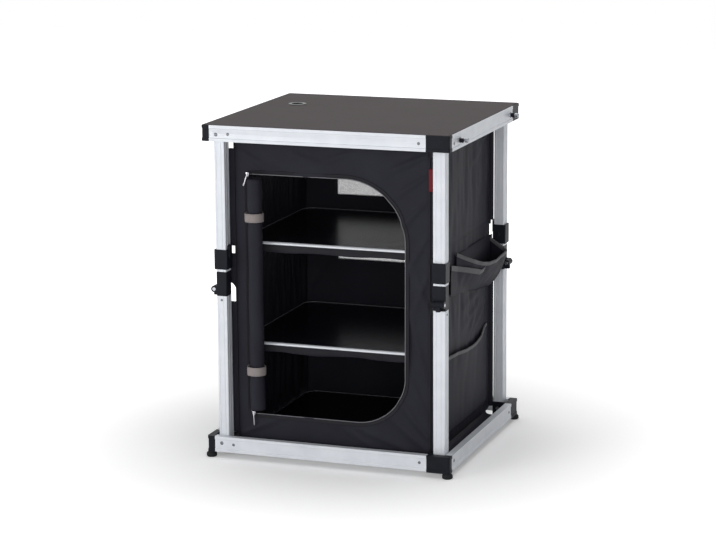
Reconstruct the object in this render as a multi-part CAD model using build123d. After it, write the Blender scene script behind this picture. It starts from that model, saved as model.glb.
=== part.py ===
from build123d import *
import os

# A folding camping cupboard: two aluminium frames joined at the corners by black plastic
# blocks, four legs that break at the knee and fold inwards, a worktop, and a fabric body
# with two shelves and a floor board. Millimetres, +Z up, origin on the ground below the
# middle, the door facing -Y.

os.makedirs("parts", exist_ok=True)

# Overall size
WIDTH = 605.0
DEPTH = 560.0
HEIGHT = 800.0
FOOT_HEIGHT = 12.0

# Rail extrusion, used upright in the top frame and upside down in the base frame
RAIL_H = 37.5
RAIL_T = 16.0
RAIL_WALL = 1.8
RAIL_BAND = 7.0
RAIL_RECESS = 1.2
LIP_T = 2.5
LIP_H = 4.0

# Corner blocks
BLOCK_L = 57.0
BLOCK_SIDE_L = 20.0
BLOCK_SOLE_T = 2.5
BLOCK_EDGE_R = 6.0
SPIGOT_GAP = 0.15
SHORT_SPIGOT = 30.0
LONG_SPIGOT = 56.0
ARM_T = 5.0
ARM_GAP = 0.5

# Rivets and leg pivots
RIVET_R = 2.0
RIVET_HEAD_R = 3.6
RIVET_GRIP = 8.0
RIVET_RISE = 18.0
RIVET_FROM_END = 17.0
RIVET_FROM_START = 47.0
PIVOT_R = 3.0
PIVOT_HEAD_R = 4.5
PIVOT_TAIL = 1.5
PIVOT_RISE = 16.0
PIN_GAP = 0.05

# Legs
LEG_W = 30.0
LEG_D = 26.0
LEG_WALL = 1.6
LEG_EDGE_R = 2.5
LEG_SIDE_GAP = 2.0
LEG_INSET = 24.0
LEG_PAST_PIVOT = 8.0
FLUTE_W = 3.0
FLUTE_DEPTH = 0.8
FLUTE_OFFSET = 6.0

# Knee hinge
KNEE_OUT = 6.0
KNEE_R = 8.0
KNEE_PIN_R = 3.0
KNEE_PIN_HEAD_R = 4.2
KNEE_PIN_HEAD_T = 1.0
KNEE_LUG_W = 10.0
KNEE_SIDE_GAP = 0.3
KNEE_DROP = 10.0
KNEE_LUG_ROOT = 1.0
CAP_H = 6.0
CAP_SPIGOT = 28.0
KNUCKLE_H = 52.0
KNUCKLE_SPIGOT = 20.0
KNUCKLE_WALL = 3.5
TONGUE_W = 14.0
TONGUE_FROM_PIN = 14.2
TONGUE_D = 10.8
TONGUE_H = 20.0

# Lock collar and its push button
COLLAR_GAP = 5.5
COLLAR_H = 47.5
COLLAR_SIDE = 1.5
COLLAR_OUT = 4.0
COLLAR_IN = 3.0
COLLAR_CHAMFER = 1.2
LUG_W = 14.0
LUG_T = 3.5
LUG_RISE = 10.0
LUG_DROP = 21.0
BUTTON_R = 4.0
BUTTON_OUT = 5.0
BUTTON_FLANGE_R = 6.0
BUTTON_FLANGE_T = 2.0
BUTTON_TIP = 1.5
BUTTON_GAP = 0.08

# Feet
FOOT_R = 12.5
FOOT_SOLE_EDGE = 2.0
FOOT_TOP_EDGE = 3.5
FOOT_INSET = 8.0
FOOT_STUD_R = 3.0
FOOT_STUD_H = 8.0

# Worktop and cable grommet
TOP_T = 5.0
TOP_GAP = 0.4
TOP_CORNER_R = 4.0
GROMMET_FROM_LEFT = 93.5
GROMMET_FROM_REAR = 182.0
GROMMET_R = 22.0
GROMMET_BORE_R = 14.0
GROMMET_SLEEVE_T = 2.0
GROMMET_FLANGE_T = 1.5
GROMMET_EDGE = 0.7
GROMMET_SLEEVE_L = 12.0

# Accessory studs on the side rails
STUD_FROM_START = 62.0
STUD_FROM_END = 17.0
STUD_OUT = 20.0
STUD_BASE_R = 6.5
STUD_BASE_T = 2.0
STUD_NECK_R = 3.5
STUD_HEAD_R = 5.5
STUD_HEAD_T = 9.0

# Fabric body
CLOTH_T = 2.0
CLOTH_GAP = 0.3
BODY_SIDE_INSET = 62.5
BODY_END_INSET = 48.5
BODY_BOTTOM = 34.0
FLAP_CUT_H = 62.0
KNEE_CUT_UP = 107.0
KNEE_CUT_DOWN = 34.0
KNEE_CUT_IN = 6.0
FOLDS = 4
FOLD_DEPTH = 3.0

# Door opening in the front panel
DOOR_FROM_LEFT = 34.0
DOOR_FROM_RIGHT = 60.0
DOOR_FROM_TOP = 121.0
DOOR_BOTTOM = 104.0
DOOR_TOP_R = 145.0
DOOR_BOTTOM_R = 120.0
DOOR_SMALL_R = 8.0
ZIP_BAND = 7.0
ZIP_T = 1.0

# Rear vents
VENT_INSET = 84.5
VENT_H = 110.0
VENT_T = 0.8
VENT_OVER_SHELF = 36.0
VENT_UNDER_SHELF = 19.0

# Shelves and floor board
SHELF_T = 5.0
UPPER_SHELF_DROP = 281.0
LOWER_SHELF_Z = 277.0
FLOOR_TOP_Z = 41.0
SHELF_SETBACK = 8.5
SHELF_CORNER_R = 28.0
EDGE_STRIP_T = 2.0
EDGE_STRIP_H = 6.0
SKIRT_T = 1.5
SKIRT_H = 17.0

# Rolled door, its ties and the zip pulls
ROLL_R = 18.5
ROLL_PINCH = 1.5
ROLL_STEP = 2.0
ROLL_TAIL_T = 4.0
ROLL_UNDER_DOOR_TOP = 7.0
ROLL_OVER_DOOR_BOTTOM = 14.0
TIE_W = 21.0
TIE_T = 1.6
UPPER_TIE_DROP = 91.0
LOWER_TIE_RISE = 95.0
SLIDER_W = 8.0
SLIDER_H = 12.0
SLIDER_T = 3.0
PULL_W = 3.5
PULL_L = 24.0
PULL_T = 1.6
TOP_SLIDER_OUT = 3.0
LOW_SLIDER_IN = 10.0

# Side pockets
POCKET_WALL = 2.0
POCKET_GAP = 0.4
LOW_POCKET_H = 195.0
LOW_POCKET_Z = 60.0
LOW_POCKET_FROM_FRONT = 64.5
LOW_POCKET_FROM_REAR = 34.5
LOW_POCKET_T = 5.0
POUCH_DROP = 311.0
POUCH_FROM_REAR = 14.5
POUCH_L = 265.0
# The pouch's sections: distance from its rear end, how far it stands out, and how far its
# bottom, its mouth's outer edge and its edge on the wall lie below the pouch's highest point
POUCH_STATIONS = (
    (POUCH_L, 8.0, 59.0, 9.0, 0.0),
    (210.0, 39.6, 93.0, 34.0, 2.0),
    (25.0, 54.6, 137.0, 37.0, 9.0),
    (0.0, 8.0, 139.0, 19.0, 11.0),
)

# Tab in the front panel's edge
TAB_INSET = 4.2
TAB_DROP = 77.0
TAB_W = 12.0
TAB_H = 53.0
TAB_T = 1.2

# Places that several pieces share, in the frame of the front right corner: x runs along
# the side towards the corner and y inwards, with the corner itself at 0, 0
SEAT_Z = RAIL_H - LIP_H
TOP_RAIL_Z = HEIGHT - GROMMET_FLANGE_T - TOP_T - SEAT_Z
BASE_RAIL_TOP = FOOT_HEIGHT + BLOCK_SOLE_T + RAIL_H
LEG_X1 = -RAIL_T - LEG_SIDE_GAP
LEG_X0 = LEG_X1 - LEG_W
LEG_XM = (LEG_X0 + LEG_X1) / 2
LEG_Y0 = LEG_INSET
LEG_Y1 = LEG_INSET + LEG_D
PIVOT_Y = LEG_INSET + LEG_D / 2
TOP_PIVOT_Z = TOP_RAIL_Z + PIVOT_RISE
BASE_PIVOT_Z = BASE_RAIL_TOP - PIVOT_RISE
KNEE_Y = LEG_INSET - KNEE_OUT
KNEE_Z = (TOP_PIVOT_Z + BASE_PIVOT_Z) / 2
JOINT_Z = KNEE_Z - KNEE_DROP
KNUCKLE_BOTTOM = JOINT_Z + KNEE_SIDE_GAP
KNUCKLE_TOP = KNUCKLE_BOTTOM + KNUCKLE_H
COLLAR_Z = KNUCKLE_TOP + COLLAR_GAP
BUTTON_Z = COLLAR_Z + COLLAR_H / 2
ARM_X1 = LEG_X0 - ARM_GAP
ARM_X0 = ARM_X1 - ARM_T
CAVITY_Y0 = RAIL_RECESS + RAIL_WALL
CAVITY_Y1 = RAIL_T - RAIL_WALL
CAVITY_Z0 = RAIL_WALL
CAVITY_Z1 = SEAT_Z - RAIL_WALL
GROMMET_X = -WIDTH / 2 + GROMMET_FROM_LEFT
GROMMET_Y = DEPTH / 2 - GROMMET_FROM_REAR
BODY_W = WIDTH - 2 * BODY_SIDE_INSET
BODY_D = DEPTH - 2 * BODY_END_INSET
FRONT_FACE = -BODY_D / 2
WALL_X = BODY_W / 2
INNER_X = WALL_X - CLOTH_T
INNER_Y = BODY_D / 2 - CLOTH_T
CLOTH_TOP = TOP_RAIL_Z + SEAT_Z - CLOTH_GAP
DOOR_LEFT = -WALL_X + DOOR_FROM_LEFT
DOOR_RIGHT = WALL_X - DOOR_FROM_RIGHT
DOOR_TOP = HEIGHT - DOOR_FROM_TOP
UPPER_SHELF_Z = HEIGHT - UPPER_SHELF_DROP
VENT_W = BODY_W - 2 * VENT_INSET
UPPER_VENT_Z = UPPER_SHELF_Z + VENT_OVER_SHELF
LOWER_VENT_Z = UPPER_SHELF_Z - VENT_UNDER_SHELF - VENT_H
ROLL_TOP = DOOR_TOP - ROLL_UNDER_DOOR_TOP
ROLL_BOTTOM = DOOR_BOTTOM + ROLL_OVER_DOOR_BOTTOM
UPPER_TIE_Z = ROLL_TOP - UPPER_TIE_DROP
LOWER_TIE_Z = ROLL_BOTTOM + LOWER_TIE_RISE
SHELF_Y = FRONT_FACE + SHELF_SETBACK
TIE_R = ROLL_R + ROLL_STEP + CLOTH_GAP
ROLL_X = DOOR_LEFT + ROLL_R + ROLL_STEP + CLOTH_GAP
ROLL_Y = SHELF_Y - CLOTH_GAP - TIE_R - TIE_T
TAIL_X0 = DOOR_LEFT + CLOTH_GAP
TAIL_X1 = TAIL_X0 + ROLL_TAIL_T

CORNERS = {
    "fr": (0, WIDTH / 2, -DEPTH / 2),
    "rr": (90, WIDTH / 2, DEPTH / 2),
    "rl": (180, -WIDTH / 2, DEPTH / 2),
    "fl": (270, -WIDTH / 2, -DEPTH / 2),
}
SIDES = {"front": "fr", "right": "rr", "rear": "rl", "left": "fl"}


def at_corner(shape, corner):
    """Turns a piece drawn at the front right corner to another corner."""
    turn, x, y = CORNERS[corner]
    return Location((x, y, 0), (0, 0, turn)) * shape


def at_level(shape, level):
    """Stands a top frame piece at its height, or turns it over for the base frame."""
    if level == "top":
        return Pos(0, 0, TOP_RAIL_Z) * shape
    return Pos(0, 0, BASE_RAIL_TOP) * mirror(shape, about=Plane.XY)


def block(x0, x1, y0, y1, z0, z1):
    """A box given by its limits."""
    return Pos(x0, y0, z0) * Box(x1 - x0, y1 - y0, z1 - z0, align=(Align.MIN,) * 3)


def rod_x(x0, x1, y, z, r):
    """A round bar along x."""
    return Pos(x0, y, z) * Rot(0, 90, 0) * Cylinder(r, x1 - x0, align=(Align.CENTER, Align.CENTER, Align.MIN))


def rod_y(x, y0, y1, z, r):
    """A round bar along y."""
    return Pos(x, y0, z) * Rot(-90, 0, 0) * Cylinder(r, y1 - y0, align=(Align.CENTER, Align.CENTER, Align.MIN))


def rod_z(x, y, z0, z1, r):
    """A round bar along z."""
    return Pos(x, y, z0) * Cylinder(r, z1 - z0, align=(Align.CENTER, Align.CENTER, Align.MIN))


def turned_x(points, y, z):
    """A turned piece on an axis along x, from (x, radius) points."""
    profile = Polyline((points[0][0], 0), *points, (points[-1][0], 0), close=True)
    return Pos(0, y, z) * revolve(make_face(Plane.XZ * profile), Axis.X)


def side_length(side):
    return WIDTH if side in ("front", "rear") else DEPTH


def write(shape, name):
    """Writes a node, as one solid or as a group of separate solids."""
    if isinstance(shape, (list, tuple)):
        solids = [s for piece in shape for s in piece.solids()]
        shape = Compound(children=solids)
    else:
        solids = shape.solids()
        shape = solids[0] if len(solids) == 1 else Compound(children=solids)
    shape.label = name
    export_step(shape, f"parts/{name}.step")


# Rails

def rail_profile():
    """Section of the rail: flat seat and lip above, hollow below, recessed outer face."""
    outline = Polyline(
        (0, 0),
        (0, RAIL_BAND),
        (RAIL_RECESS, RAIL_BAND + RAIL_RECESS),
        (RAIL_RECESS, RAIL_H - RAIL_BAND - RAIL_RECESS),
        (0, RAIL_H - RAIL_BAND),
        (0, RAIL_H),
        (LIP_T, RAIL_H),
        (LIP_T, SEAT_Z),
        (RAIL_T, SEAT_Z),
        (RAIL_T, 0),
        close=True,
    )
    cavity = Pos(CAVITY_Y0, CAVITY_Z0) * Rectangle(
        CAVITY_Y1 - CAVITY_Y0, CAVITY_Z1 - CAVITY_Z0, align=(Align.MIN, Align.MIN)
    )
    return make_face(outline) - cavity


def side_holes(side, level):
    """Places along a rail, from its own corner, where it is fastened through its outer wall."""
    start = -side_length(side) + BLOCK_SIDE_L
    end = -BLOCK_L - RIVET_FROM_END
    if side in ("front", "rear"):
        return [start + RIVET_FROM_START, end]
    return [start + STUD_FROM_START, end] if level == "top" else [end]


def rail(side, level):
    """One rail with its rivet and pivot holes, drawn at the corner where it ends."""
    x0 = -side_length(side) + BLOCK_SIDE_L
    body = Pos(x0, 0, 0) * extrude(Plane.YZ * rail_profile(), -BLOCK_L - x0)
    for x in side_holes(side, level):
        body -= rod_y(x, 0, CAVITY_Y0, RIVET_RISE, RIVET_R + PIN_GAP)
    pivot_x = -side_length(side) + PIVOT_Y
    body -= rod_y(pivot_x, 0, RAIL_T, PIVOT_RISE, PIVOT_R + PIN_GAP)
    return at_corner(at_level(body, level), SIDES[side])


# Corner blocks

def bar_section(inset):
    """Plan of the corner's bar, long to one side and short to the other, rounded outside."""
    plan = Pos(-BLOCK_L, inset) * Rectangle(
        BLOCK_L - inset, RAIL_T - inset, align=(Align.MIN, Align.MIN)
    )
    plan += Pos(-RAIL_T, inset) * Rectangle(
        RAIL_T - inset, BLOCK_SIDE_L - inset, align=(Align.MIN, Align.MIN)
    )
    outer_corner = plan.vertices().sort_by(Axis.Y)[:2].sort_by(Axis.X)[-1]
    return fillet(outer_corner, BLOCK_EDGE_R - inset)


def corner_block(corner, level):
    """Plastic corner with a spigot for each rail and an arm that holds the leg's pivot."""
    h = RAIL_H if level == "top" else RAIL_H + BLOCK_SOLE_T
    body = extrude(bar_section(0), RAIL_BAND)
    body += Pos(0, 0, RAIL_BAND) * extrude(bar_section(RAIL_RECESS), h - 2 * RAIL_BAND)
    body += Pos(0, 0, h - RAIL_BAND) * extrude(bar_section(0), RAIL_BAND)
    if level == "top":
        body -= block(-BLOCK_L, -LIP_T, LIP_T, BLOCK_SIDE_L, SEAT_Z, h)
    y0 = CAVITY_Y0 + SPIGOT_GAP
    y1 = CAVITY_Y1 - SPIGOT_GAP
    z0 = CAVITY_Z0 + SPIGOT_GAP
    z1 = CAVITY_Z1 - SPIGOT_GAP
    body += block(-BLOCK_L - SHORT_SPIGOT, -BLOCK_L, y0, y1, z0, z1)
    body += block(-y1, -y0, BLOCK_SIDE_L, BLOCK_SIDE_L + LONG_SPIGOT, z0, z1)
    body += block(ARM_X0, ARM_X1, RAIL_T, LEG_Y1, 0, SEAT_Z)
    x_rivet = -BLOCK_L - RIVET_FROM_END
    y_rivet = BLOCK_SIDE_L + RIVET_FROM_START
    body -= rod_y(x_rivet, 0, RAIL_T, RIVET_RISE, RIVET_R + PIN_GAP)
    body -= rod_x(-RAIL_T, 0, y_rivet, RIVET_RISE, RIVET_R + PIN_GAP)
    body -= rod_x(ARM_X0, 0, PIVOT_Y, PIVOT_RISE, PIVOT_R + PIN_GAP)
    if level == "base":
        stud_z = h - FOOT_STUD_H - PIN_GAP
        body -= rod_z(-FOOT_INSET, FOOT_INSET, stud_z, h, FOOT_STUD_R + PIN_GAP)
    return at_corner(at_level(body, level), corner)


# Rivets, leg pivots and studs

def rivet(x):
    """A rivet with a flat cone head, from the rail's outer face into the spigot behind it."""
    shank = rod_y(x, RAIL_RECESS, RAIL_RECESS + RIVET_GRIP, RIVET_RISE, RIVET_R)
    head = Cone(
        RIVET_HEAD_R, RIVET_HEAD_R / 2, RAIL_RECESS, align=(Align.CENTER, Align.CENTER, Align.MIN)
    )
    return shank + Pos(x, RAIL_RECESS, RIVET_RISE) * Rot(90, 0, 0) * head


def leg_pivot():
    """The pin through rail, leg and arm that a leg turns on, with a head at each end."""
    return turned_x(
        [
            (ARM_X0 - PIVOT_TAIL, PIVOT_HEAD_R),
            (ARM_X0, PIVOT_HEAD_R),
            (ARM_X0, PIVOT_R),
            (-RAIL_RECESS, PIVOT_R),
            (-RAIL_RECESS, PIVOT_HEAD_R),
            (0, PIVOT_HEAD_R / 2),
        ],
        PIVOT_Y,
        PIVOT_RISE,
    )


def frame_fasteners(level):
    """All rivets and leg pivots of one frame. Studs hold the ends of the top side rails."""
    pieces = []
    for side, corner in SIDES.items():
        if level == "base" or side in ("front", "rear"):
            for x in side_holes(side, level):
                pieces.append(at_corner(at_level(rivet(x), level), corner))
        pieces.append(at_corner(at_level(leg_pivot(), level), corner))
    return pieces


def stud(x):
    """A turned stud for hanging accessories: shank, collar, neck and rounded head."""
    half = STUD_HEAD_R / 2
    profile = [
        (-RAIL_RECESS - RIVET_GRIP, RIVET_R),
        (-RAIL_RECESS, RIVET_R),
        (-RAIL_RECESS, STUD_BASE_R),
        (STUD_BASE_T - RAIL_RECESS, STUD_BASE_R),
        (STUD_BASE_T - RAIL_RECESS, STUD_NECK_R),
        (STUD_OUT - STUD_HEAD_T, STUD_NECK_R),
        (STUD_OUT - STUD_HEAD_T, STUD_HEAD_R),
        (STUD_OUT - half, STUD_HEAD_R),
        (STUD_OUT, half),
    ]
    return Pos(x, 0, RIVET_RISE) * Rot(0, 0, -90) * turned_x(profile, 0, 0)


def rail_studs():
    pieces = []
    for side in ("left", "right"):
        for x in side_holes(side, "top"):
            pieces.append(at_corner(at_level(stud(x), "top"), SIDES[side]))
    return pieces


# Legs

def leg_profile():
    """Section of the leg tube with two shallow flutes on each face."""
    outer = RectangleRounded(LEG_W, LEG_D, LEG_EDGE_R)
    outer -= Rectangle(LEG_W - 2 * LEG_WALL, LEG_D - 2 * LEG_WALL)
    for offset in (-FLUTE_OFFSET, FLUTE_OFFSET):
        for sign in (-1, 1):
            outer -= Pos(offset, sign * LEG_D / 2) * Rectangle(FLUTE_W, 2 * FLUTE_DEPTH)
            outer -= Pos(sign * LEG_W / 2, offset) * Rectangle(2 * FLUTE_DEPTH, FLUTE_W)
    return Pos(LEG_XM, PIVOT_Y) * outer


def leg_tube(z0, z1, pivot_z):
    tube = Pos(0, 0, z0) * extrude(leg_profile(), z1 - z0)
    return tube - rod_x(LEG_X0, LEG_X1, PIVOT_Y, pivot_z, PIVOT_R + PIN_GAP)


def lower_tube():
    return leg_tube(BASE_PIVOT_Z - LEG_PAST_PIVOT, JOINT_Z - CAP_H, BASE_PIVOT_Z)


def upper_tube():
    tube = leg_tube(KNUCKLE_TOP, TOP_PIVOT_Z + LEG_PAST_PIVOT, TOP_PIVOT_Z)
    return tube - rod_x(LEG_X0, LEG_XM, PIVOT_Y, BUTTON_Z, BUTTON_R + BUTTON_GAP)


def leg_plug(z0, z1):
    """The part of a knuckle that fills the tube's bore."""
    inset = LEG_WALL + SPIGOT_GAP
    return block(LEG_X0 + inset, LEG_X1 - inset, LEG_Y0 + inset, LEG_Y1 - inset, z0, z1)


def lower_knuckle():
    """Cap of the lower tube with the hinge's middle lug and the latch tongue."""
    cap = block(LEG_X0, LEG_X1, LEG_Y0, LEG_Y1, JOINT_Z - CAP_H, JOINT_Z)
    cap = fillet(cap.edges().filter_by(Axis.Z), LEG_EDGE_R)
    cap += leg_plug(JOINT_Z - CAP_H - CAP_SPIGOT, JOINT_Z - CAP_H)
    lug_x0 = LEG_XM - KNEE_LUG_W / 2
    lug_x1 = LEG_XM + KNEE_LUG_W / 2
    cap += block(
        lug_x0,
        lug_x1,
        KNEE_Y - KNEE_OUT + KNEE_LUG_ROOT,
        LEG_Y0 - 2 * KNEE_SIDE_GAP,
        JOINT_Z - CAP_H,
        KNEE_Z,
    )
    cap += block(
        lug_x0, lug_x1, LEG_Y0 - KNEE_LUG_ROOT, LEG_Y0 + KNEE_LUG_ROOT, JOINT_Z - CAP_H, JOINT_Z
    )
    cap += rod_x(lug_x0, lug_x1, KNEE_Y, KNEE_Z, KNEE_R)
    tongue_y = KNEE_Y + TONGUE_FROM_PIN
    cap += block(
        LEG_XM - TONGUE_W / 2, LEG_XM + TONGUE_W / 2, tongue_y, tongue_y + TONGUE_D, JOINT_Z, JOINT_Z + TONGUE_H
    )
    return cap - rod_x(lug_x0, lug_x1, KNEE_Y, KNEE_Z, KNEE_PIN_R + PIN_GAP)


def knee_pin():
    return turned_x(
        [
            (LEG_X0 - KNEE_PIN_HEAD_T, KNEE_PIN_HEAD_R),
            (LEG_X0, KNEE_PIN_HEAD_R),
            (LEG_X0, KNEE_PIN_R),
            (LEG_X1, KNEE_PIN_R),
            (LEG_X1, KNEE_PIN_HEAD_R),
            (LEG_X1 + KNEE_PIN_HEAD_T, KNEE_PIN_HEAD_R),
        ],
        KNEE_Y,
        KNEE_Z,
    )


def upper_knuckle():
    """Hollow knuckle below the upper tube with the hinge's two outer lugs."""
    body = block(LEG_X0, LEG_X1, LEG_Y0, LEG_Y1, KNUCKLE_BOTTOM, KNUCKLE_TOP)
    body = fillet(body.edges().filter_by(Axis.Z), LEG_EDGE_R)
    body += leg_plug(KNUCKLE_TOP, KNUCKLE_TOP + KNUCKLE_SPIGOT)
    lug_half = KNEE_LUG_W / 2 + KNEE_SIDE_GAP
    for x0, x1 in ((LEG_X0, LEG_XM - lug_half), (LEG_XM + lug_half, LEG_X1)):
        body += rod_x(x0, x1, KNEE_Y, KNEE_Z, KNEE_R)
        body += block(x0, x1, KNEE_Y, LEG_Y0 + LEG_EDGE_R, KNEE_Z - KNEE_R, KNEE_Z + KNEE_R)
    body -= rod_x(LEG_XM - lug_half, LEG_XM + lug_half, KNEE_Y, KNEE_Z, KNEE_R + KNEE_SIDE_GAP)
    body -= block(
        LEG_X0 + KNUCKLE_WALL,
        LEG_X1 - KNUCKLE_WALL,
        LEG_Y0 + KNUCKLE_WALL,
        LEG_Y1 - KNUCKLE_WALL,
        KNUCKLE_BOTTOM,
        KNUCKLE_TOP - KNUCKLE_SPIGOT,
    )
    return body - rod_x(LEG_X0, LEG_X1, KNEE_Y, KNEE_Z, KNEE_PIN_R + PIN_GAP)


def lock_collar():
    """Sleeve round the upper tube with the button's bore and a lug on the inner side."""
    x0 = LEG_X0 - COLLAR_SIDE
    x1 = LEG_X1 + COLLAR_SIDE
    y0 = LEG_Y0 - COLLAR_OUT
    y1 = LEG_Y1 + COLLAR_IN
    body = block(x0, x1, y0, y1, COLLAR_Z, COLLAR_Z + COLLAR_H)
    body = fillet(body.edges().filter_by(Axis.Z), LEG_EDGE_R)
    body = chamfer(body.faces().sort_by(Axis.Z)[0].edges(), COLLAR_CHAMFER)
    lug_z1 = COLLAR_Z + COLLAR_H + LUG_RISE
    lug = block(
        LEG_XM - LUG_W / 2, LEG_XM + LUG_W / 2, LEG_Y1, y1 + LUG_T, lug_z1 - LUG_RISE - LUG_DROP, lug_z1
    )
    body += fillet(lug.edges().filter_by(Axis.Y), LUG_T)
    body -= block(
        LEG_X0 - SPIGOT_GAP,
        LEG_X1 + SPIGOT_GAP,
        LEG_Y0 - SPIGOT_GAP,
        LEG_Y1 + SPIGOT_GAP,
        COLLAR_Z,
        lug_z1,
    )
    return body - rod_x(x0, LEG_X0, PIVOT_Y, BUTTON_Z, BUTTON_R + BUTTON_GAP)


def lock_button():
    """Push button with the flange that keeps it in the tube."""
    x_tip = LEG_X0 - COLLAR_SIDE - BUTTON_OUT
    x_flange = LEG_X0 + LEG_WALL + BUTTON_GAP
    return turned_x(
        [
            (x_tip, BUTTON_R - BUTTON_TIP),
            (x_tip + BUTTON_TIP, BUTTON_R),
            (x_flange, BUTTON_R),
            (x_flange, BUTTON_FLANGE_R),
            (x_flange + BUTTON_FLANGE_T, BUTTON_FLANGE_R),
        ],
        PIVOT_Y,
        BUTTON_Z,
    )


# Feet

def foot(corner):
    """Rounded plastic foot with a stud into the corner block."""
    profile = Polyline(
        (0, 0),
        (FOOT_R - FOOT_SOLE_EDGE, 0),
        (FOOT_R, FOOT_SOLE_EDGE),
        (FOOT_R, FOOT_HEIGHT - FOOT_TOP_EDGE),
        (FOOT_R - FOOT_TOP_EDGE, FOOT_HEIGHT),
        (FOOT_STUD_R, FOOT_HEIGHT),
        (FOOT_STUD_R, FOOT_HEIGHT + FOOT_STUD_H),
        (0, FOOT_HEIGHT + FOOT_STUD_H),
        close=True,
    )
    body = revolve(make_face(Plane.XZ * profile), Axis.Z)
    return at_corner(Pos(-FOOT_INSET, FOOT_INSET, 0) * body, corner)


# Worktop

def worktop():
    """Thin board that lies in the rebate of the top rails, with the grommet's hole."""
    w = WIDTH - 2 * (LIP_T + TOP_GAP)
    d = DEPTH - 2 * (LIP_T + TOP_GAP)
    board = Pos(0, 0, TOP_RAIL_Z + SEAT_Z) * extrude(RectangleRounded(w, d, TOP_CORNER_R), TOP_T)
    hole_r = GROMMET_BORE_R + GROMMET_SLEEVE_T + CLOTH_GAP
    return board - rod_z(GROMMET_X, GROMMET_Y, 0, HEIGHT, hole_r)


def cable_grommet():
    """Flanged plastic ring that lines the cable hole."""
    face = TOP_RAIL_Z + SEAT_Z + TOP_T
    ring = rod_z(GROMMET_X, GROMMET_Y, face, face + GROMMET_FLANGE_T, GROMMET_R)
    ring = chamfer(ring.edges().sort_by(Axis.Z)[-1], GROMMET_EDGE)
    ring += rod_z(GROMMET_X, GROMMET_Y, face - GROMMET_SLEEVE_L, face, GROMMET_BORE_R + GROMMET_SLEEVE_T)
    return ring - rod_z(GROMMET_X, GROMMET_Y, 0, HEIGHT, GROMMET_BORE_R)


# Fabric body

def door_outline(grow):
    """The door opening, straight at the left and rounded at the right, grown outwards."""
    x0 = DOOR_LEFT - grow
    x1 = DOOR_RIGHT + grow
    z0 = DOOR_BOTTOM - grow
    z1 = DOOR_TOP + grow
    top_r = DOOR_TOP_R + grow
    bottom_r = DOOR_BOTTOM_R + grow
    small_r = DOOR_SMALL_R + grow
    lines = [
        Line((x0 + small_r, z1), (x1 - top_r, z1)),
        RadiusArc((x1 - top_r, z1), (x1, z1 - top_r), top_r),
        Line((x1, z1 - top_r), (x1, z0 + bottom_r)),
        RadiusArc((x1, z0 + bottom_r), (x1 - bottom_r, z0), bottom_r),
        Line((x1 - bottom_r, z0), (x0 + small_r, z0)),
        RadiusArc((x0 + small_r, z0), (x0, z0 + small_r), small_r),
        Line((x0, z0 + small_r), (x0, z1 - small_r)),
        RadiusArc((x0, z1 - small_r), (x0 + small_r, z1), small_r),
    ]
    return make_face(Wire(lines))


def end_panel_outline(left_edge, right_edge):
    """A panel as wide as the body, with flaps to the legs that clear the knees."""
    outline = Pos(0, BODY_BOTTOM) * Rectangle(
        BODY_W, CLOTH_TOP - BODY_BOTTOM, align=(Align.CENTER, Align.MIN)
    )
    flap = Pos(left_edge, FLAP_CUT_H) * Rectangle(
        right_edge - left_edge, HEIGHT - 2 * FLAP_CUT_H, align=(Align.MIN, Align.MIN)
    )
    outline += flap
    cut_h = KNEE_CUT_UP + KNEE_CUT_DOWN
    cut_z = KNEE_Z - KNEE_CUT_DOWN + cut_h / 2
    cut_w = 2 * (WIDTH / 2 - WALL_X + KNEE_CUT_IN)
    for sign in (-1, 1):
        outline -= Pos(sign * WIDTH / 2, cut_z) * RectangleRounded(cut_w, cut_h, cut_h / 4)
    return outline


def cloth_panel(outline, y0, thickness):
    """Stands a flat outline upright, from y0 towards +Y."""
    return Pos(0, y0 + thickness, 0) * extrude(Plane.XZ * outline, thickness)


def front_panel():
    """Front of the fabric body with the door opening and its zip band."""
    left = -(WIDTH / 2 - LEG_Y1) + CLOTH_GAP
    right = WIDTH / 2 + LEG_X0 - CLOTH_GAP
    panel = cloth_panel(end_panel_outline(left, right), FRONT_FACE, CLOTH_T)
    panel += cloth_panel(door_outline(ZIP_BAND), FRONT_FACE - ZIP_T, ZIP_T)
    return panel - cloth_panel(door_outline(0), FRONT_FACE - ZIP_T, CLOTH_T + ZIP_T)


def vent_outline(z, gap):
    return Pos(0, z + gap) * Rectangle(VENT_W - 2 * gap, VENT_H - 2 * gap, align=(Align.CENTER, Align.MIN))


def rear_panel():
    """Rear of the fabric body with two vent windows."""
    left = -(WIDTH / 2 + LEG_X0) + CLOTH_GAP
    right = WIDTH / 2 - LEG_Y1 - CLOTH_GAP
    panel = cloth_panel(end_panel_outline(left, right), INNER_Y, CLOTH_T)
    for z in (UPPER_VENT_Z, LOWER_VENT_Z):
        panel -= cloth_panel(vent_outline(z, 0), INNER_Y, CLOTH_T)
    return panel


def rear_vents():
    y0 = INNER_Y + (CLOTH_T - VENT_T) / 2
    return [cloth_panel(vent_outline(z, CLOTH_GAP), y0, VENT_T) for z in (UPPER_VENT_Z, LOWER_VENT_Z)]


def side_panel(sign):
    """Side wall that stands out a little between its sewn lines."""
    y_end = INNER_Y - CLOTH_GAP
    step = 2 * y_end / FOLDS
    inner = []
    outer = []
    for i in range(FOLDS):
        y0 = -y_end + i * step
        mid = y0 + step / 2
        inner.append(ThreePointArc((INNER_X, y0), (INNER_X + FOLD_DEPTH, mid), (INNER_X, y0 + step)))
        outer.append(ThreePointArc((WALL_X, y0), (WALL_X + FOLD_DEPTH, mid), (WALL_X, y0 + step)))
    ends = [Line((INNER_X, y), (WALL_X, y)) for y in (-y_end, y_end)]
    face = make_face(Wire(inner + outer + ends))
    wall = Pos(0, 0, BODY_BOTTOM) * extrude(face, CLOTH_TOP - BODY_BOTTOM)
    return wall if sign > 0 else mirror(wall, about=Plane.YZ)


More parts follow.
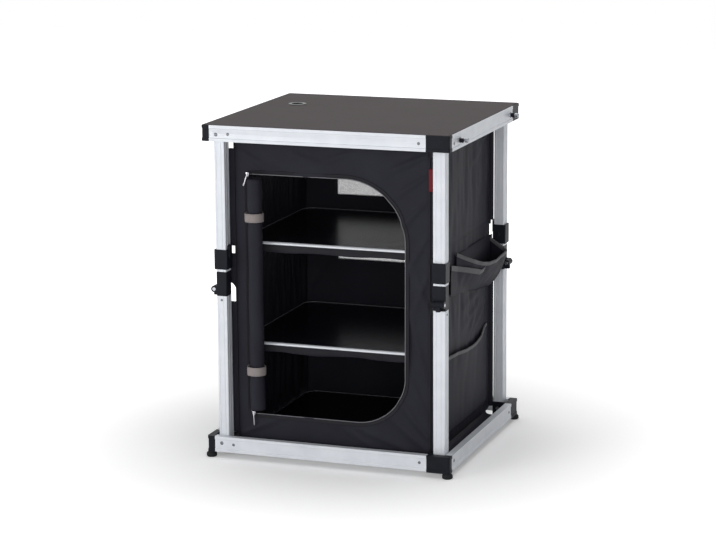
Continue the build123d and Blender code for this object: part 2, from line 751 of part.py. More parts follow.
# Shelves and floor board

def board(z_top, y0, y1):
    """Stiff board with rounded rear corners."""
    half = INNER_X - CLOTH_GAP
    plate = block(-half, half, y0, y1, z_top - SHELF_T, z_top)
    corners = plate.edges().filter_by(Axis.Z).sort_by(Axis.Y)[-2:]
    return fillet(corners, SHELF_CORNER_R)


def shelf(z_top):
    """Shelf board with its aluminium front strip and the sewn hem below it."""
    half = INNER_X - CLOTH_GAP
    strip_z = z_top - EDGE_STRIP_H
    strip = block(-half, half, SHELF_Y, SHELF_Y + EDGE_STRIP_T, strip_z, z_top)
    skirt = block(-half, half, SHELF_Y, SHELF_Y + SKIRT_T, strip_z - SKIRT_H, strip_z)
    return [board(z_top, SHELF_Y + EDGE_STRIP_T, -SHELF_Y), strip, skirt]


def floor_board():
    return board(FLOOR_TOP_Z, -INNER_Y + CLOTH_GAP, INNER_Y - CLOTH_GAP)


# Rolled door

def roll_section(z, r):
    """Spiral outline of the rolled cloth: quarter arcs that close in, and its free end's step."""
    turns = [r + ROLL_STEP * share for share in (1.0, 0.75, 0.5, 0.25, 0.0)]
    spots = [(0, -turns[0]), (turns[1], 0), (0, turns[2]), (-turns[3], 0), (0, -turns[4])]
    lines = []
    for i in range(4):
        bow = (turns[i] + turns[i + 1]) / 2
        lines.append(RadiusArc(spots[i], spots[i + 1], -bow))
    lines.append(Line(spots[4], spots[0]))
    return Pos(ROLL_X, ROLL_Y, z) * make_face(Wire(lines))


def rolled_door():
    """The unzipped door, rolled up along the opening's straight side and drawn in at its ties."""
    drawn_in = ROLL_R - ROLL_PINCH
    stations = [
        (ROLL_BOTTOM, drawn_in),
        ((ROLL_BOTTOM + LOWER_TIE_Z) / 2, ROLL_R),
        (LOWER_TIE_Z, drawn_in),
        ((UPPER_TIE_Z + LOWER_TIE_Z) / 2, ROLL_R),
        (UPPER_TIE_Z, drawn_in),
        ((UPPER_TIE_Z + ROLL_TOP) / 2, ROLL_R),
        (ROLL_TOP, drawn_in),
    ]
    roll = loft([roll_section(z, r) for z, r in stations], ruled=True)
    return roll + block(TAIL_X0, TAIL_X1, ROLL_Y, -INNER_Y, ROLL_BOTTOM, ROLL_TOP)


def door_tie(z):
    """Webbing loop round the roll, open where the cloth runs back to the panel."""
    z0 = z - TIE_W / 2
    z1 = z + TIE_W / 2
    ring = rod_z(ROLL_X, ROLL_Y, z0, z1, TIE_R + TIE_T) - rod_z(ROLL_X, ROLL_Y, z0, z1, TIE_R)
    open_x = TAIL_X1 + CLOTH_GAP
    return ring - block(ROLL_X - 2 * TIE_R, open_x, ROLL_Y, ROLL_Y + 2 * TIE_R, z0, z1)


def zip_pull(x, z):
    """Zip slider with its hanging pull."""
    y1 = FRONT_FACE - ZIP_T - CLOTH_GAP
    slider = block(x - SLIDER_W / 2, x + SLIDER_W / 2, y1 - SLIDER_T, y1, z - SLIDER_H / 2, z + SLIDER_H / 2)
    slider = fillet(slider.edges().filter_by(Axis.Y), SLIDER_W / 4)
    y0 = y1 - SLIDER_T
    pull = block(x - PULL_W / 2, x + PULL_W / 2, y0, y0 + PULL_T, z - SLIDER_H / 2 - PULL_L, z)
    return slider + pull


# Side pockets

def pouch_section(y, x_back, out, low, mouth, back):
    """Upright triangle of the pouch: down the wall, out to its mouth and back up."""
    top = HEIGHT - POUCH_DROP
    face = make_face(
        Polyline((x_back, top - low), (x_back + out, top - mouth), (x_back, top - back), close=True)
    )
    return Pos(0, y, 0) * (Plane.XZ * face)


def pouch(x_back):
    """Fabric scoop with a hollow inside and a slanted open mouth, deepest at its rear."""
    outer = []
    hollow = []
    for place, out, low, mouth, back in POUCH_STATIONS:
        y = INNER_Y - POUCH_FROM_REAR - place
        shift = {0.0: -POCKET_WALL, POUCH_L: POCKET_WALL}.get(place, 0)
        outer.append(pouch_section(y, x_back, out, low, mouth, back))
        hollow.append(
            pouch_section(
                y + shift,
                x_back + POCKET_WALL,
                out - 2 * POCKET_WALL,
                low - 3 * POCKET_WALL,
                mouth - POCKET_WALL,
                back - 2 * POCKET_WALL,
            )
        )
    return loft(outer, ruled=True) - loft(hollow, ruled=True)


def low_pocket(x_back):
    """Flat pocket, open at its top."""
    x_out = x_back + LOW_POCKET_T
    y0 = -INNER_Y + LOW_POCKET_FROM_FRONT
    y1 = INNER_Y - LOW_POCKET_FROM_REAR
    z1 = LOW_POCKET_Z + LOW_POCKET_H
    slot = block(
        x_out - 2 * POCKET_WALL,
        x_out - POCKET_WALL,
        y0 + POCKET_WALL,
        y1 - POCKET_WALL,
        LOW_POCKET_Z + POCKET_WALL,
        z1,
    )
    return block(x_back, x_out, y0, y1, LOW_POCKET_Z, z1) - slot


def side_pockets():
    """The scoop pouch and the flat pocket below it, on the right wall."""
    back = WALL_X + FOLD_DEPTH + POCKET_GAP
    return [pouch(back), low_pocket(back)]


def edge_tab():
    """Plain folded tab sewn into the front panel's right edge."""
    x1 = WIDTH / 2 + LEG_X0 - CLOTH_GAP - TAB_INSET
    y1 = FRONT_FACE - CLOTH_GAP
    z0 = HEIGHT - FLAP_CUT_H - TAB_DROP
    return block(x1 - TAB_W, x1, y1 - TAB_T, y1, z0, z0 + TAB_H)


for side in SIDES:
    for level in ("top", "base"):
        write(rail(side, level), f"{level}_{side}_rail")
for corner in CORNERS:
    for level in ("top", "base"):
        write(corner_block(corner, level), f"{level}_{corner}_block")
    write(at_corner(lower_tube(), corner), f"{corner}_lower_tube")
    write([at_corner(lower_knuckle(), corner), at_corner(knee_pin(), corner)], f"{corner}_lower_knuckle")
    write(at_corner(upper_knuckle(), corner), f"{corner}_upper_knuckle")
    write(at_corner(upper_tube(), corner), f"{corner}_upper_tube")
    write(at_corner(lock_collar(), corner), f"{corner}_lock_collar")
    write(at_corner(lock_button(), corner), f"{corner}_lock_button")
write(frame_fasteners("top"), "top_frame_rivets")
write(frame_fasteners("base"), "base_frame_rivets")
write(rail_studs(), "rail_studs")
write([foot(corner) for corner in CORNERS], "feet")
write(worktop(), "worktop")
write(cable_grommet(), "cable_grommet")
write(front_panel(), "front_panel")
write(rear_panel(), "rear_panel")
write(rear_vents(), "rear_vents")
write(side_panel(-1), "left_panel")
write(side_panel(1), "right_panel")
write(shelf(UPPER_SHELF_Z), "upper_shelf")
write(shelf(LOWER_SHELF_Z), "lower_shelf")
write(floor_board(), "floor_board")
write(rolled_door(), "rolled_door")
write([door_tie(z) for z in (UPPER_TIE_Z, LOWER_TIE_Z)], "door_ties")
write(
    [
        zip_pull(DOOR_LEFT - TOP_SLIDER_OUT, DOOR_TOP),
        zip_pull(DOOR_LEFT + LOW_SLIDER_IN, DOOR_BOTTOM),
    ],
    "zip_pulls",
)
write(side_pockets(), "side_pockets")
write(edge_tab(), "edge_tab")
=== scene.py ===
import math

import bpy
import numpy as np
from mathutils import Matrix, Vector, noise


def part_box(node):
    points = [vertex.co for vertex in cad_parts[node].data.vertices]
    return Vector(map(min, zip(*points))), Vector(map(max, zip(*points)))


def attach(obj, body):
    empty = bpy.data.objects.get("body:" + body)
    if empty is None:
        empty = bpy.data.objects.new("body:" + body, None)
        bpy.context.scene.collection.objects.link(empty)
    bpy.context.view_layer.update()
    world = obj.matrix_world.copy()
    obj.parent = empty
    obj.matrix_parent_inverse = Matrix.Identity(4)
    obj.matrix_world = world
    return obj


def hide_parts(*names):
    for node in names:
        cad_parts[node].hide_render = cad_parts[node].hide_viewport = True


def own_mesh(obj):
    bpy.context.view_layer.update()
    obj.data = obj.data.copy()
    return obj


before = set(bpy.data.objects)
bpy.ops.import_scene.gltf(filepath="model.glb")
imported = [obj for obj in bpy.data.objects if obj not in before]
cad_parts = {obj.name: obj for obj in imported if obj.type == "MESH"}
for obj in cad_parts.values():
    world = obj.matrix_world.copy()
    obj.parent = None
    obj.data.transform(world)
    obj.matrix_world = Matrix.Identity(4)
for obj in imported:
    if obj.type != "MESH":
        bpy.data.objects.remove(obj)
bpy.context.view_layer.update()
scene = bpy.context.scene


# Rails of the two frames: extruded aluminium, sawn to length, satin anodised. Each is pushed
# over the corner blocks' spigots and riveted. The satin layer scatters the light, which gives a
# pale, soft gloss with faint lines along the extrusion.
FRAME_SIDES = ("front", "right", "rear", "left")
RAIL_COLOUR = "#E2E5EA"
RAIL_SHADE = "#CDD1D8"
RAIL_CLOUD = 33.333  # mm across a change of tone
DRAW_LINE = 0.9  # mm between the lines that the die leaves, real ones are about 0.2
BAND = 0.314  # a wave texture's scale for bands one millimetre apart
TOUCHING = 0.00001
FLAT_WITHIN, SHARP_PAST = math.radians(0.5), math.radians(35)


def linear(code):
    """An sRGB hex colour as linear RGBA."""
    parts = [int(code[i:i + 2], 16) / 255 for i in (1, 3, 5)]
    return (*[c / 12.92 if c <= 0.04045 else ((c + 0.055) / 1.055) ** 2.4 for c in parts], 1.0)


def add(tree, kind, inputs=(), **settings):
    """Adds a shader node with its settings, and fills or links its inputs."""
    node = tree.nodes.new(f"ShaderNode{kind}")
    for key, value in settings.items():
        setattr(node, key, value)
    for key, value in dict(inputs).items():
        if isinstance(value, bpy.types.NodeSocket):
            tree.links.new(value, node.inputs[key])
        else:
            node.inputs[key].default_value = value
    return node


def new_material(name, tones, kind, pattern, settings=(), by="Fac", **sockets):
    """A material in two tones that a pattern mixes, in millimetres, with its plain sockets set."""
    material = bpy.data.materials.new(name)
    material.use_nodes = True
    tree = material.node_tree
    shader = tree.nodes["Principled BSDF"]
    for key, value in sockets.items():
        shader.inputs[key.replace("_", " ")].default_value = value
    place = add(tree, "TexCoord").outputs["Object"]
    mm = add(tree, "Mapping", {"Vector": place, "Scale": (1000.0,) * 3}).outputs["Vector"]
    drawn = add(tree, kind, {"Vector": mm, **pattern}, **dict(settings)).outputs[by]
    tint = add(tree, "Mix", {
        "Factor": drawn, "A": linear(tones[0]), "B": linear(tones[1]),
    }, data_type="RGBA")
    tree.links.new(tint.outputs["Result"], shader.inputs["Base Color"])
    return material, tree, shader, mm, drawn


def dress(nodes, material, bevel=0.0):
    """Gives CAD nodes a finish, and edges broken by that many millimetres."""
    for node in nodes:
        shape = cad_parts[node]
        shape.data.materials.clear()
        shape.data.materials.append(material)
        if bevel:
            weld = shape.modifiers.new("joined", "WELD")
            weld.merge_threshold = TOUCHING
            flat = shape.modifiers.new("flats", "DECIMATE")
            flat.decimate_type = "DISSOLVE"
            flat.angle_limit = FLAT_WITHIN
            edge = shape.modifiers.new("edges", "BEVEL")
            edge.width = bevel / 1000
            edge.segments = 2
            edge.limit_method = "ANGLE"
            edge.angle_limit = SHARP_PAST
            edge.harden_normals = True


anodised, tree, shader, mm, _ = new_material(
    "satin_anodised_aluminium", (RAIL_COLOUR, RAIL_SHADE),
    "TexNoise", {"Scale": 1 / RAIL_CLOUD, "Detail": 3.0},
    Metallic=0.22, Roughness=0.45, Specular_IOR_Level=0.35,
)
lines = add(tree, "TexWave", {
    "Vector": mm, "Scale": BAND / DRAW_LINE, "Distortion": 0.4, "Detail": 2.0,
}, bands_direction="Z")
relief = add(tree, "Bump", {
    "Height": lines.outputs["Fac"], "Strength": 0.04, "Distance": 0.0002,
})
tree.links.new(relief.outputs["Normal"], shader.inputs["Normal"])
dress([f"{level}_{side}_rail" for level in ("base", "top") for side in FRAME_SIDES], anodised, 0.5)


# Corner blocks: glass-filled nylon, injection moulded, riveted into the rails, each with an arm
# that a leg turns on. Nearly black, with a fine spark-eroded grain that keeps the gloss low.
CORNERS = ("fr", "rr", "rl", "fl")
BLACK_PLASTIC = "#15161B"
BLACK_PLASTIC_WORN = "#21232A"
WEAR = 20  # mm across a paler patch
GRAIN = 1.6  # mm between the grains, real ones are about 0.3

moulded, tree, shader, mm, _ = new_material(
    "moulded_black_nylon", (BLACK_PLASTIC, BLACK_PLASTIC_WORN),
    "TexNoise", {"Scale": 1 / WEAR, "Detail": 4.0},
    Roughness=0.45, IOR=1.53, Specular_IOR_Level=0.08,
)
grain = add(tree, "TexNoise", {"Vector": mm, "Scale": 1 / GRAIN, "Detail": 2.0})
relief = add(tree, "Bump", {
    "Height": grain.outputs["Fac"], "Strength": 0.12, "Distance": 0.0003,
})
tree.links.new(relief.outputs["Normal"], shader.inputs["Normal"])
dress([f"{level}_{corner}_block" for level in ("base", "top") for corner in CORNERS], moulded, 1.0)


# Rivets and leg pivots: bare steel, headed cold through the rails and the corner blocks, and
# left as it is, which gives a dull grey shine.
STEEL, STEEL_LIGHT = "#5C5E63", "#808287"
STEEL_CLOUD = 2.5  # mm across a change of tone

headed, *_ = new_material(
    "cold_headed_steel", (STEEL, STEEL_LIGHT),
    "TexNoise", {"Scale": 1 / STEEL_CLOUD, "Detail": 3.0},
    Metallic=1.0, Roughness=0.4,
)
dress(["base_frame_rivets", "top_frame_rivets"], headed)


# Feet: moulded rubber on studs that are pressed into the base's corner blocks. They are matte,
# and dusty where they stand on the ground.
RUBBER, RUBBER_DUSTY = "#131416", "#222325"
DUST = 5  # mm across a patch

rubber, *_ = new_material(
    "moulded_rubber", (RUBBER, RUBBER_DUSTY),
    "TexNoise", {"Scale": 1 / DUST, "Detail": 4.0},
    Roughness=0.75, IOR=1.52, Specular_IOR_Level=0.2,
)
dress(["feet"], rubber, 0.5)


# Legs: drawn aluminium tube with the rails' finish, in two halves that meet in nylon knuckles.
# The hinge pin is steel with a pale, slightly cloudy zinc plating, a bare steel rivet holds each
# lower knuckle, and a nylon collar with a push button slides over the joint to lock it.
ZINC, ZINC_LIGHT = "#8C8F94", "#B9BCC1"
PIN_INSET, PIN_HEAD_R, PIN_Z = 0.008, 0.0044, 0.406
RIVET_Z = 0.3805
RIVET_DOME = (  # radius, rise from the tube's face
    (0.0029, -0.0002), (0.0028, 0.0005), (0.0020, 0.0011), (0.0008, 0.0014), (0.0001, 0.0014),
)
LEG_PIECES = (  # piece, finish, broken edge in mm
    ("lower_tube", anodised, 0.3), ("upper_tube", anodised, 0.3),
    ("lower_knuckle", moulded, 0.5), ("upper_knuckle", moulded, 0.5),
    ("lock_collar", moulded, 0.7), ("lock_button", moulded, 0.3),
)
LEGS = (  # corner, axis that it folds along, hinge's side on that axis, outer side on the other
    ("fr", 1, -1, 1), ("rr", 0, 1, 1), ("rl", 1, 1, -1), ("fl", 0, -1, -1),
)


def smooth_piece(name, mesh, material):
    """An object made of a mesh, shaded smooth."""
    mesh.polygons.foreach_set("use_smooth", [True] * len(mesh.polygons))
    mesh.materials.append(material)
    piece = bpy.data.objects.new(name, mesh)
    scene.collection.objects.link(piece)
    return piece


def surface(name, points, faces, material, thickness=0.0):
    """A smooth mesh piece, with a thickness centred on its surface if it has one."""
    mesh = bpy.data.meshes.new(name)
    mesh.from_pydata([tuple(p) for p in points], [], [tuple(int(k) for k in f) for f in faces])
    mesh.validate()
    piece = smooth_piece(name, mesh, material)
    if thickness:
        body = piece.modifiers.new("thickness", "SOLIDIFY")
        body.thickness = thickness
        body.offset = 0.0
    return piece


def strip(name, rows, material, thickness=0.0, closed=False):
    """A band between neighbouring rows of points, closed round each row if asked."""
    count = len(rows[0])
    points = [p for row in rows for p in row]
    faces = []
    for i in range(len(rows) - 1):
        for j in range(count if closed else count - 1):
            a, b = i * count + j, i * count + (j + 1) % count
            faces.append((a, b, b + count, a + count))
    return surface(name, points, faces, material, thickness)


plated, *_ = new_material(
    "zinc_plated_steel", (ZINC, ZINC_LIGHT),
    "TexNoise", {"Scale": 1 / STEEL_CLOUD, "Detail": 3.0},
    Metallic=1.0, Roughness=0.3,
)

for piece, finish, bevel in LEG_PIECES:
    dress([f"{corner}_{piece}" for corner in CORNERS], finish, bevel)
for corner, axis, sign, outward in LEGS:
    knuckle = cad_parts[f"{corner}_lower_knuckle"]
    knuckle.data.materials.append(plated)
    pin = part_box(f"{corner}_lower_knuckle")[sign > 0][axis] - sign * PIN_INSET
    for facet in knuckle.data.polygons:
        spots = [knuckle.matrix_world @ knuckle.data.vertices[k].co for k in facet.vertices]
        facet.material_index = all(
            math.hypot(p[axis] - pin, p.z - PIN_Z) < PIN_HEAD_R for p in spots
        )

    low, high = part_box(f"{corner}_lower_tube")
    across = 1 - axis
    face = (low + high) / 2
    face.z = RIVET_Z
    face[across] = (high if outward > 0 else low)[across]
    rings = []
    for reach, rise in RIVET_DOME:
        ring = []
        for turn in np.linspace(0, 2 * math.pi, 24, endpoint=False):
            spot = Vector((0, 0, reach * math.sin(turn)))
            spot[axis] = reach * math.cos(turn)
            spot[across] = rise * outward
            ring.append(face + spot)
        rings.append(ring)
    rivet = strip(f"{corner}_knuckle_rivet", rings, headed, closed=True)
    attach(rivet, f"{corner}_lower")


# Worktop: thin board with a matte melamine face, brown-grey, with a fine pebbled texture. It
# lies on the rails' ledge, and a ring of smooth grey nylon is pressed into its cable hole.
BOARD_BROWN = "#3F393A"
BOARD_BROWN_LIGHT = "#474142"
BOARD_CLOUD = 83.333  # mm across a change of tone
PEBBLE = 1.25  # mm between the pebbles, real ones are about 0.4
RING_GREY, RING_GREY_LIGHT = "#343A38", "#464D4A"
MOTTLE = 3.3333  # mm across a spot

melamine, tree, shader, mm, _ = new_material(
    "matte_melamine_board", (BOARD_BROWN, BOARD_BROWN_LIGHT),
    "TexNoise", {"Scale": 1 / BOARD_CLOUD, "Detail": 5.0},
    Roughness=0.6, IOR=1.5, Specular_IOR_Level=0.08,
)
pebble = add(tree, "TexNoise", {"Vector": mm, "Scale": 1 / PEBBLE, "Detail": 2.0})
relief = add(tree, "Bump", {
    "Height": pebble.outputs["Fac"], "Strength": 0.1, "Distance": 0.0003,
})
tree.links.new(relief.outputs["Normal"], shader.inputs["Normal"])
dress(["worktop"], melamine, 0.6)

ring_nylon, *_ = new_material(
    "moulded_grey_nylon", (RING_GREY, RING_GREY_LIGHT),
    "TexNoise", {"Scale": 1 / MOTTLE},
    Roughness=0.3, IOR=1.53, Specular_IOR_Level=0.4,
)
dress(["cable_grommet"], ring_nylon)


# Accessory studs: turned aluminium, grey, with the tool's rings, screwed through the side rails.
# Each has a sleeve of the black nylon between its head and the rail.
SIDES = (("left", -1), ("right", 1))
STUD_GREY, STUD_GREY_LIGHT = "#83868C", "#9DA0A6"
TOOL_RING = 0.785  # mm between the tool's rings, real ones are about 0.2
STUD_R = 0.0065
SLEEVE_ENDS, SLEEVE_R = (0.3029, 0.3114), 0.0052


def tube(name, points, radius, material, closed=False):
    """A round or piped edge along points, as a mesh."""
    line = bpy.data.curves.new(name, "CURVE")
    line.dimensions = "3D"
    line.bevel_depth = radius
    line.bevel_resolution = 3
    line.use_fill_caps = True
    run = line.splines.new("POLY")
    run.points.add(len(points) - 1)
    for spot, point in zip(run.points, points):
        spot.co = (*point, 1)
    run.use_cyclic_u = closed
    holder = bpy.data.objects.new(name, line)
    scene.collection.objects.link(holder)
    drawn = holder.evaluated_get(bpy.context.evaluated_depsgraph_get())
    mesh = bpy.data.meshes.new_from_object(drawn)
    bpy.data.objects.remove(holder)
    return smooth_piece(name, mesh, material)


turned, *_ = new_material(
    "turned_aluminium", (STUD_GREY, STUD_GREY_LIGHT),
    "TexWave", {"Scale": BAND / TOOL_RING, "Distortion": 0.2}, {"bands_direction": "X"},
    Metallic=1.0, Roughness=0.32,
)
dress(["rail_studs"], turned)
stud_low, stud_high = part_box("rail_studs")
z = (stud_low.z + stud_high.z) / 2
for side, sign in SIDES:
    for end, y in (("front", stud_low.y + STUD_R), ("rear", stud_high.y - STUD_R)):
        line = [(sign * x, y, z) for x in SLEEVE_ENDS]
        sleeve = tube(f"{side}_{end}_stud_sleeve", line, SLEEVE_R, moulded)
        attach(sleeve, "top_frame")


# Front panel of the fabric body: woven polyester with a coated back, cut in one piece with the
# door's opening and a flap to each front leg, and pulled tight at its corners. The weave is
# matte, nearly black, and a little paler where it has been handled.
CLOTH = "#212127"
CLOTH_LIGHT = "#2E2E37"
CLOTH_CLOUD = 111.11  # mm across a change of tone
THREAD = 2.4  # mm between the threads, real ones are about 0.4
PANEL_T = 0.0012
GRID = 0.005  # m between a sheet's grid lines

panel_low, panel_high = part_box("front_panel")
door_low = Vector((-0.206, 0, 0.104))
door_high = Vector((0.180, 0, 0.679))
DOOR_RADII = (0.008, 0.120, 0.145, 0.008)
SQUARE = (0.001,) * 4
BODY_RADII, FLAP_RADII = (0.002,) * 4, (0.003,) * 4
WALL = 0.240
FRONT_FACE = -0.2306
FLAP_ROOT, PAST_FLAP = WALL + 0.0005, 0.30
FLAP_LOW, FLAP_HIGH = 0.053, 0.738
BEHIND_LEG = -0.2560  # the left flap goes on behind its leg
KNEE_CUT = (0.372, 0.513)  # the cut in each flap, round the knuckles and the collar
KNEE_LATCH = 0.418
KNEE_RADII = (0.002, 0.002, 0.002, 0.022)
COLLAR_CUT = KNEE_LATCH - 0.004
COLLAR_CLEAR, UNCUT = 0.2522, 0.28
LATCH_SLOT = (0.488, 0.506)
LEFT_FLAP_BACK, RIGHT_FLAP_BACK = 0.0020, 0.0006
SEAM_DIP, SEAM_WIDTH = 0.0016, 0.0025
FRONT_CREASES = (  # x, z, direction in degrees, length, width, height
    (0.236, 0.745, 205, 0.16, 0.009, 0.0062),
    (0.236, 0.700, 215, 0.14, 0.008, 0.0054),
    (0.236, 0.640, 225, 0.17, 0.010, 0.0060),
    (0.236, 0.560, 240, 0.15, 0.010, 0.0050),
    (0.236, 0.470, 250, 0.14, 0.009, 0.0042),
    (0.236, 0.380, 110, 0.13, 0.009, 0.0040),
    (0.236, 0.045, 140, 0.17, 0.009, 0.0072),
    (0.236, 0.075, 128, 0.20, 0.010, 0.0070),
    (0.236, 0.120, 115, 0.22, 0.010, 0.0060),
    (0.200, 0.040, 160, 0.20, 0.008, 0.0056),
    (0.236, 0.200, 105, 0.25, 0.009, 0.0050),
    (0.110, 0.038, 150, 0.16, 0.008, 0.0040),
    (0.060, 0.745, 200, 0.12, 0.009, 0.0040),
    (-0.100, 0.735, -20, 0.12, 0.009, 0.0036),
    (-0.236, 0.740, -30, 0.15, 0.009, 0.0048),
    (-0.236, 0.050, 25, 0.16, 0.009, 0.0052),
)

woven, tree, shader, mm, _ = new_material(
    "woven_polyester", (CLOTH, CLOTH_LIGHT),
    "TexNoise", {"Scale": 1 / CLOTH_CLOUD, "Detail": 4.0},
    Roughness=0.58, IOR=1.5, Specular_IOR_Level=0.08,
)
warp, weft = [
    add(tree, "TexWave", {"Vector": mm, "Scale": BAND / THREAD}, bands_direction=way)
    for way in ("DIAGONAL", "Z")
]
weave = add(tree, "Math", {0: warp.outputs["Fac"], 1: weft.outputs["Fac"]}, operation="ADD")
relief = add(tree, "Bump", {
    "Height": weave.outputs["Value"], "Strength": 0.12, "Distance": 0.0003,
})
tree.links.new(relief.outputs["Normal"], shader.inputs["Normal"])


def cut_lines(*stops):
    """Evenly spaced grid lines between the stops, with a line on each stop."""
    spans = zip(stops, stops[1:])
    lines = [np.linspace(a, b, max(2, round((b - a) / GRID) + 1))[:-1] for a, b in spans]
    return np.append(np.concatenate(lines), stops[-1])


def rounded(u, v, u0, u1, v0, v1, radii):
    """Signed distance to a rectangle whose corners, from lower left round, have these radii."""
    cu, cv = (u0 + u1) / 2, (v0 + v1) / 2
    low_left, low_right, high_right, high_left = radii
    right_r = np.where(v > cv, high_right, low_right)
    r = np.where(u > cu, right_r, np.where(v > cv, high_left, low_left))
    qu = np.abs(u - cu) - (u1 - u0) / 2 + r
    qv = np.abs(v - cv) - (v1 - v0) / 2 + r
    return np.hypot(np.maximum(qu, 0), np.maximum(qv, 0)) + np.minimum(np.maximum(qu, qv), 0) - r


def cloth_sheet(name, us, vs, outline, place, thickness=PANEL_T):
    """A sheet cut to an outline and laid out in space, with the outline's curves drawn smooth."""
    u, v = np.meshgrid(us, vs, indexing="ij")
    d = outline(u, v)
    middle = (d[:-1, :-1] + d[1:, :-1] + d[:-1, 1:] + d[1:, 1:]) / 4
    kept = np.argwhere(middle < 0)
    step = 1e-5
    du = (outline(u + step, v) - outline(u - step, v)) / (2 * step)
    dv = (outline(u, v + step) - outline(u, v - step)) / (2 * step)
    touched = np.zeros(u.shape, int)
    for i, j in kept:
        touched[i:i + 2, j:j + 2] += 1
    edge = (touched > 0) & (touched < 4) & (np.abs(d) > 1e-6)
    u = np.where(edge, u - d * du, u)
    v = np.where(edge, v - d * dv, v)
    number = -np.ones(u.shape, int)
    used = touched > 0
    number[used] = np.arange(used.sum())
    points = place(u[used], v[used])
    faces = [
        (number[i, j], number[i + 1, j], number[i + 1, j + 1], number[i, j + 1]) for i, j in kept
    ]
    return surface(name, points, faces, woven, thickness)


def crease(u, v, u0, v0, angle, length, width, height):
    """A soft fold from a point, which widens and dies out along its length."""
    c, s = math.cos(math.radians(angle)), math.sin(math.radians(angle))
    along = ((u - u0) * c + (v - v0) * s) / length
    across = ((v - v0) * c - (u - u0) * s) / (width * (0.35 + np.clip(along, 0, 1)))
    reach = np.clip(along, 0, 1)
    fade = np.where((along > 0) & (along < 1), np.sin(math.pi * np.sqrt(reach)), 0)
    return height * fade * np.exp(-across ** 2)


def slack(u, v, seed, size, height):
    """The uneven fullness of a hanging cloth."""
    return np.array([height * noise.noise((a / size, b / size, seed)) for a, b in zip(u, v)])


def front_outline(u, v):
    """Signed distance to the front's edge, its door opening and its cuts."""
    body = rounded(u, v, -WALL, WALL, panel_low.z, panel_high.z, BODY_RADII)
    flaps = rounded(u, v, BEHIND_LEG, panel_high.x, FLAP_LOW, FLAP_HIGH, FLAP_RADII)
    door = rounded(u, v, door_low.x, door_high.x, door_low.z, door_high.z, DOOR_RADII)
    cloth = np.maximum(np.minimum(body, flaps), -door)
    for low, high, start, radii in (
        (KNEE_CUT[0], KNEE_LATCH, FLAP_ROOT, KNEE_RADII),
        (COLLAR_CUT, KNEE_CUT[1], np.where(u > 0, COLLAR_CLEAR, UNCUT), SQUARE),
        (*LATCH_SLOT, FLAP_ROOT, SQUARE),
    ):
        cloth = np.maximum(cloth, -rounded(np.abs(u), v, start, PAST_FLAP, low, high, radii))
    return cloth


def front_place(u, v):
    """Lays the front out upright, with the pull from its corners and the fullness between."""
    inside = np.clip((WALL - np.abs(u)) / 0.02, 0, 1)
    y = slack(u, v, 3.1, 0.11, 0.0036) * inside + slack(u, v, 6.4, 0.034, 0.0009) * inside
    for fold in FRONT_CREASES:
        y -= crease(u, v, *fold)
    seam = SEAM_DIP * np.exp(-((np.abs(u) - WALL) / SEAM_WIDTH) ** 2)
    flap = np.clip((np.abs(u) - WALL) / 0.01, 0, 1)
    y = FRONT_FACE + y + seam + np.where(u < 0, LEFT_FLAP_BACK, RIGHT_FLAP_BACK) * flap
    return np.stack([u, y, v], axis=1)


def on_frame(piece, finish, *nodes):
    """Hangs a fabric piece on the base frame, where it stands for its nodes."""
    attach(piece, "base_frame")
    if nodes:
        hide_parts(*nodes)
    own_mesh(piece)


front = cloth_sheet(
    "front_cloth",
    cut_lines(BEHIND_LEG, -WALL, door_low.x, door_high.x, WALL, COLLAR_CLEAR, panel_high.x),
    cut_lines(
        panel_low.z, FLAP_LOW, door_low.z, KNEE_CUT[0], KNEE_LATCH, *LATCH_SLOT, KNEE_CUT[1],
        door_high.z, FLAP_HIGH, panel_high.z,
    ),
    front_outline,
    front_place,
)
on_frame(front, "cloth", "front_panel")


# Zip round the door opening: woven tape sewn to the panel with a raised stitched edge, and a
# coil of nylon that closes the door. The coil's grey, in bands along its turns, is a painted
# highlight and painted shade, which shows it as a pale line on the matte, ribbed tape.
COIL_PAINTED_HIGHLIGHT, COIL_SHADE = "#7A7A80", "#55555A"
TOOTH = 2.0  # mm between the coil's turns, real ones are about 1.2
TAPE_BLACK, TAPE_LIGHT = "#19191D", "#25252A"
RIB = 1.57  # mm between the ribs of a tape, real ones are about 0.8
COIL_OUT, COIL_LIFT, COIL_R = 0.0006, 0.0008, 0.0011
TAPE_PROFILE = (  # distance out from the opening, lift off the cloth
    (0.0022, 0.0003), (0.0030, 0.0008), (0.0072, 0.0009), (0.0082, 0.0019), (0.0096, 0.0019),
    (0.0104, 0.0002),
)
ARC_STEP = 0.006

# painted highlight and painted shade, in bands along the coil's turns
coil_nylon, *_ = new_material(
    "extruded_nylon_coil", (COIL_SHADE, COIL_PAINTED_HIGHLIGHT),
    "TexWave", {"Scale": BAND / TOOTH}, {"bands_direction": "DIAGONAL"},
    Roughness=0.4, IOR=1.53,
)

tape_weave, *_ = new_material(
    "woven_polyester_tape", (TAPE_BLACK, TAPE_LIGHT),
    "TexWave", {"Scale": BAND / RIB}, {"bands_direction": "Z"},
    Roughness=0.6, IOR=1.5, Specular_IOR_Level=0.15,
)


def door_path(grow):
    """Points round the door opening, grown outwards, on arcs at its corners."""
    corners = (
        (door_low.x, door_low.z, 1, 1, DOOR_RADII[0], 180),
        (door_high.x, door_low.z, -1, 1, DOOR_RADII[1], 270),
        (door_high.x, door_high.z, -1, -1, DOOR_RADII[2], 0),
        (door_low.x, door_high.z, 1, -1, DOOR_RADII[3], 90),
    )
    points = []
    for x, z, sx, sz, r, start in corners:
        cx, cz = x + sx * r, z + sz * r
        steps = max(3, round(r * math.pi / 2 / ARC_STEP))
        for k in range(steps + 1):
            angle = math.radians(start + 90 * k / steps)
            points.append((cx + (r + grow) * math.cos(angle), cz + (r + grow) * math.sin(angle)))
    return points


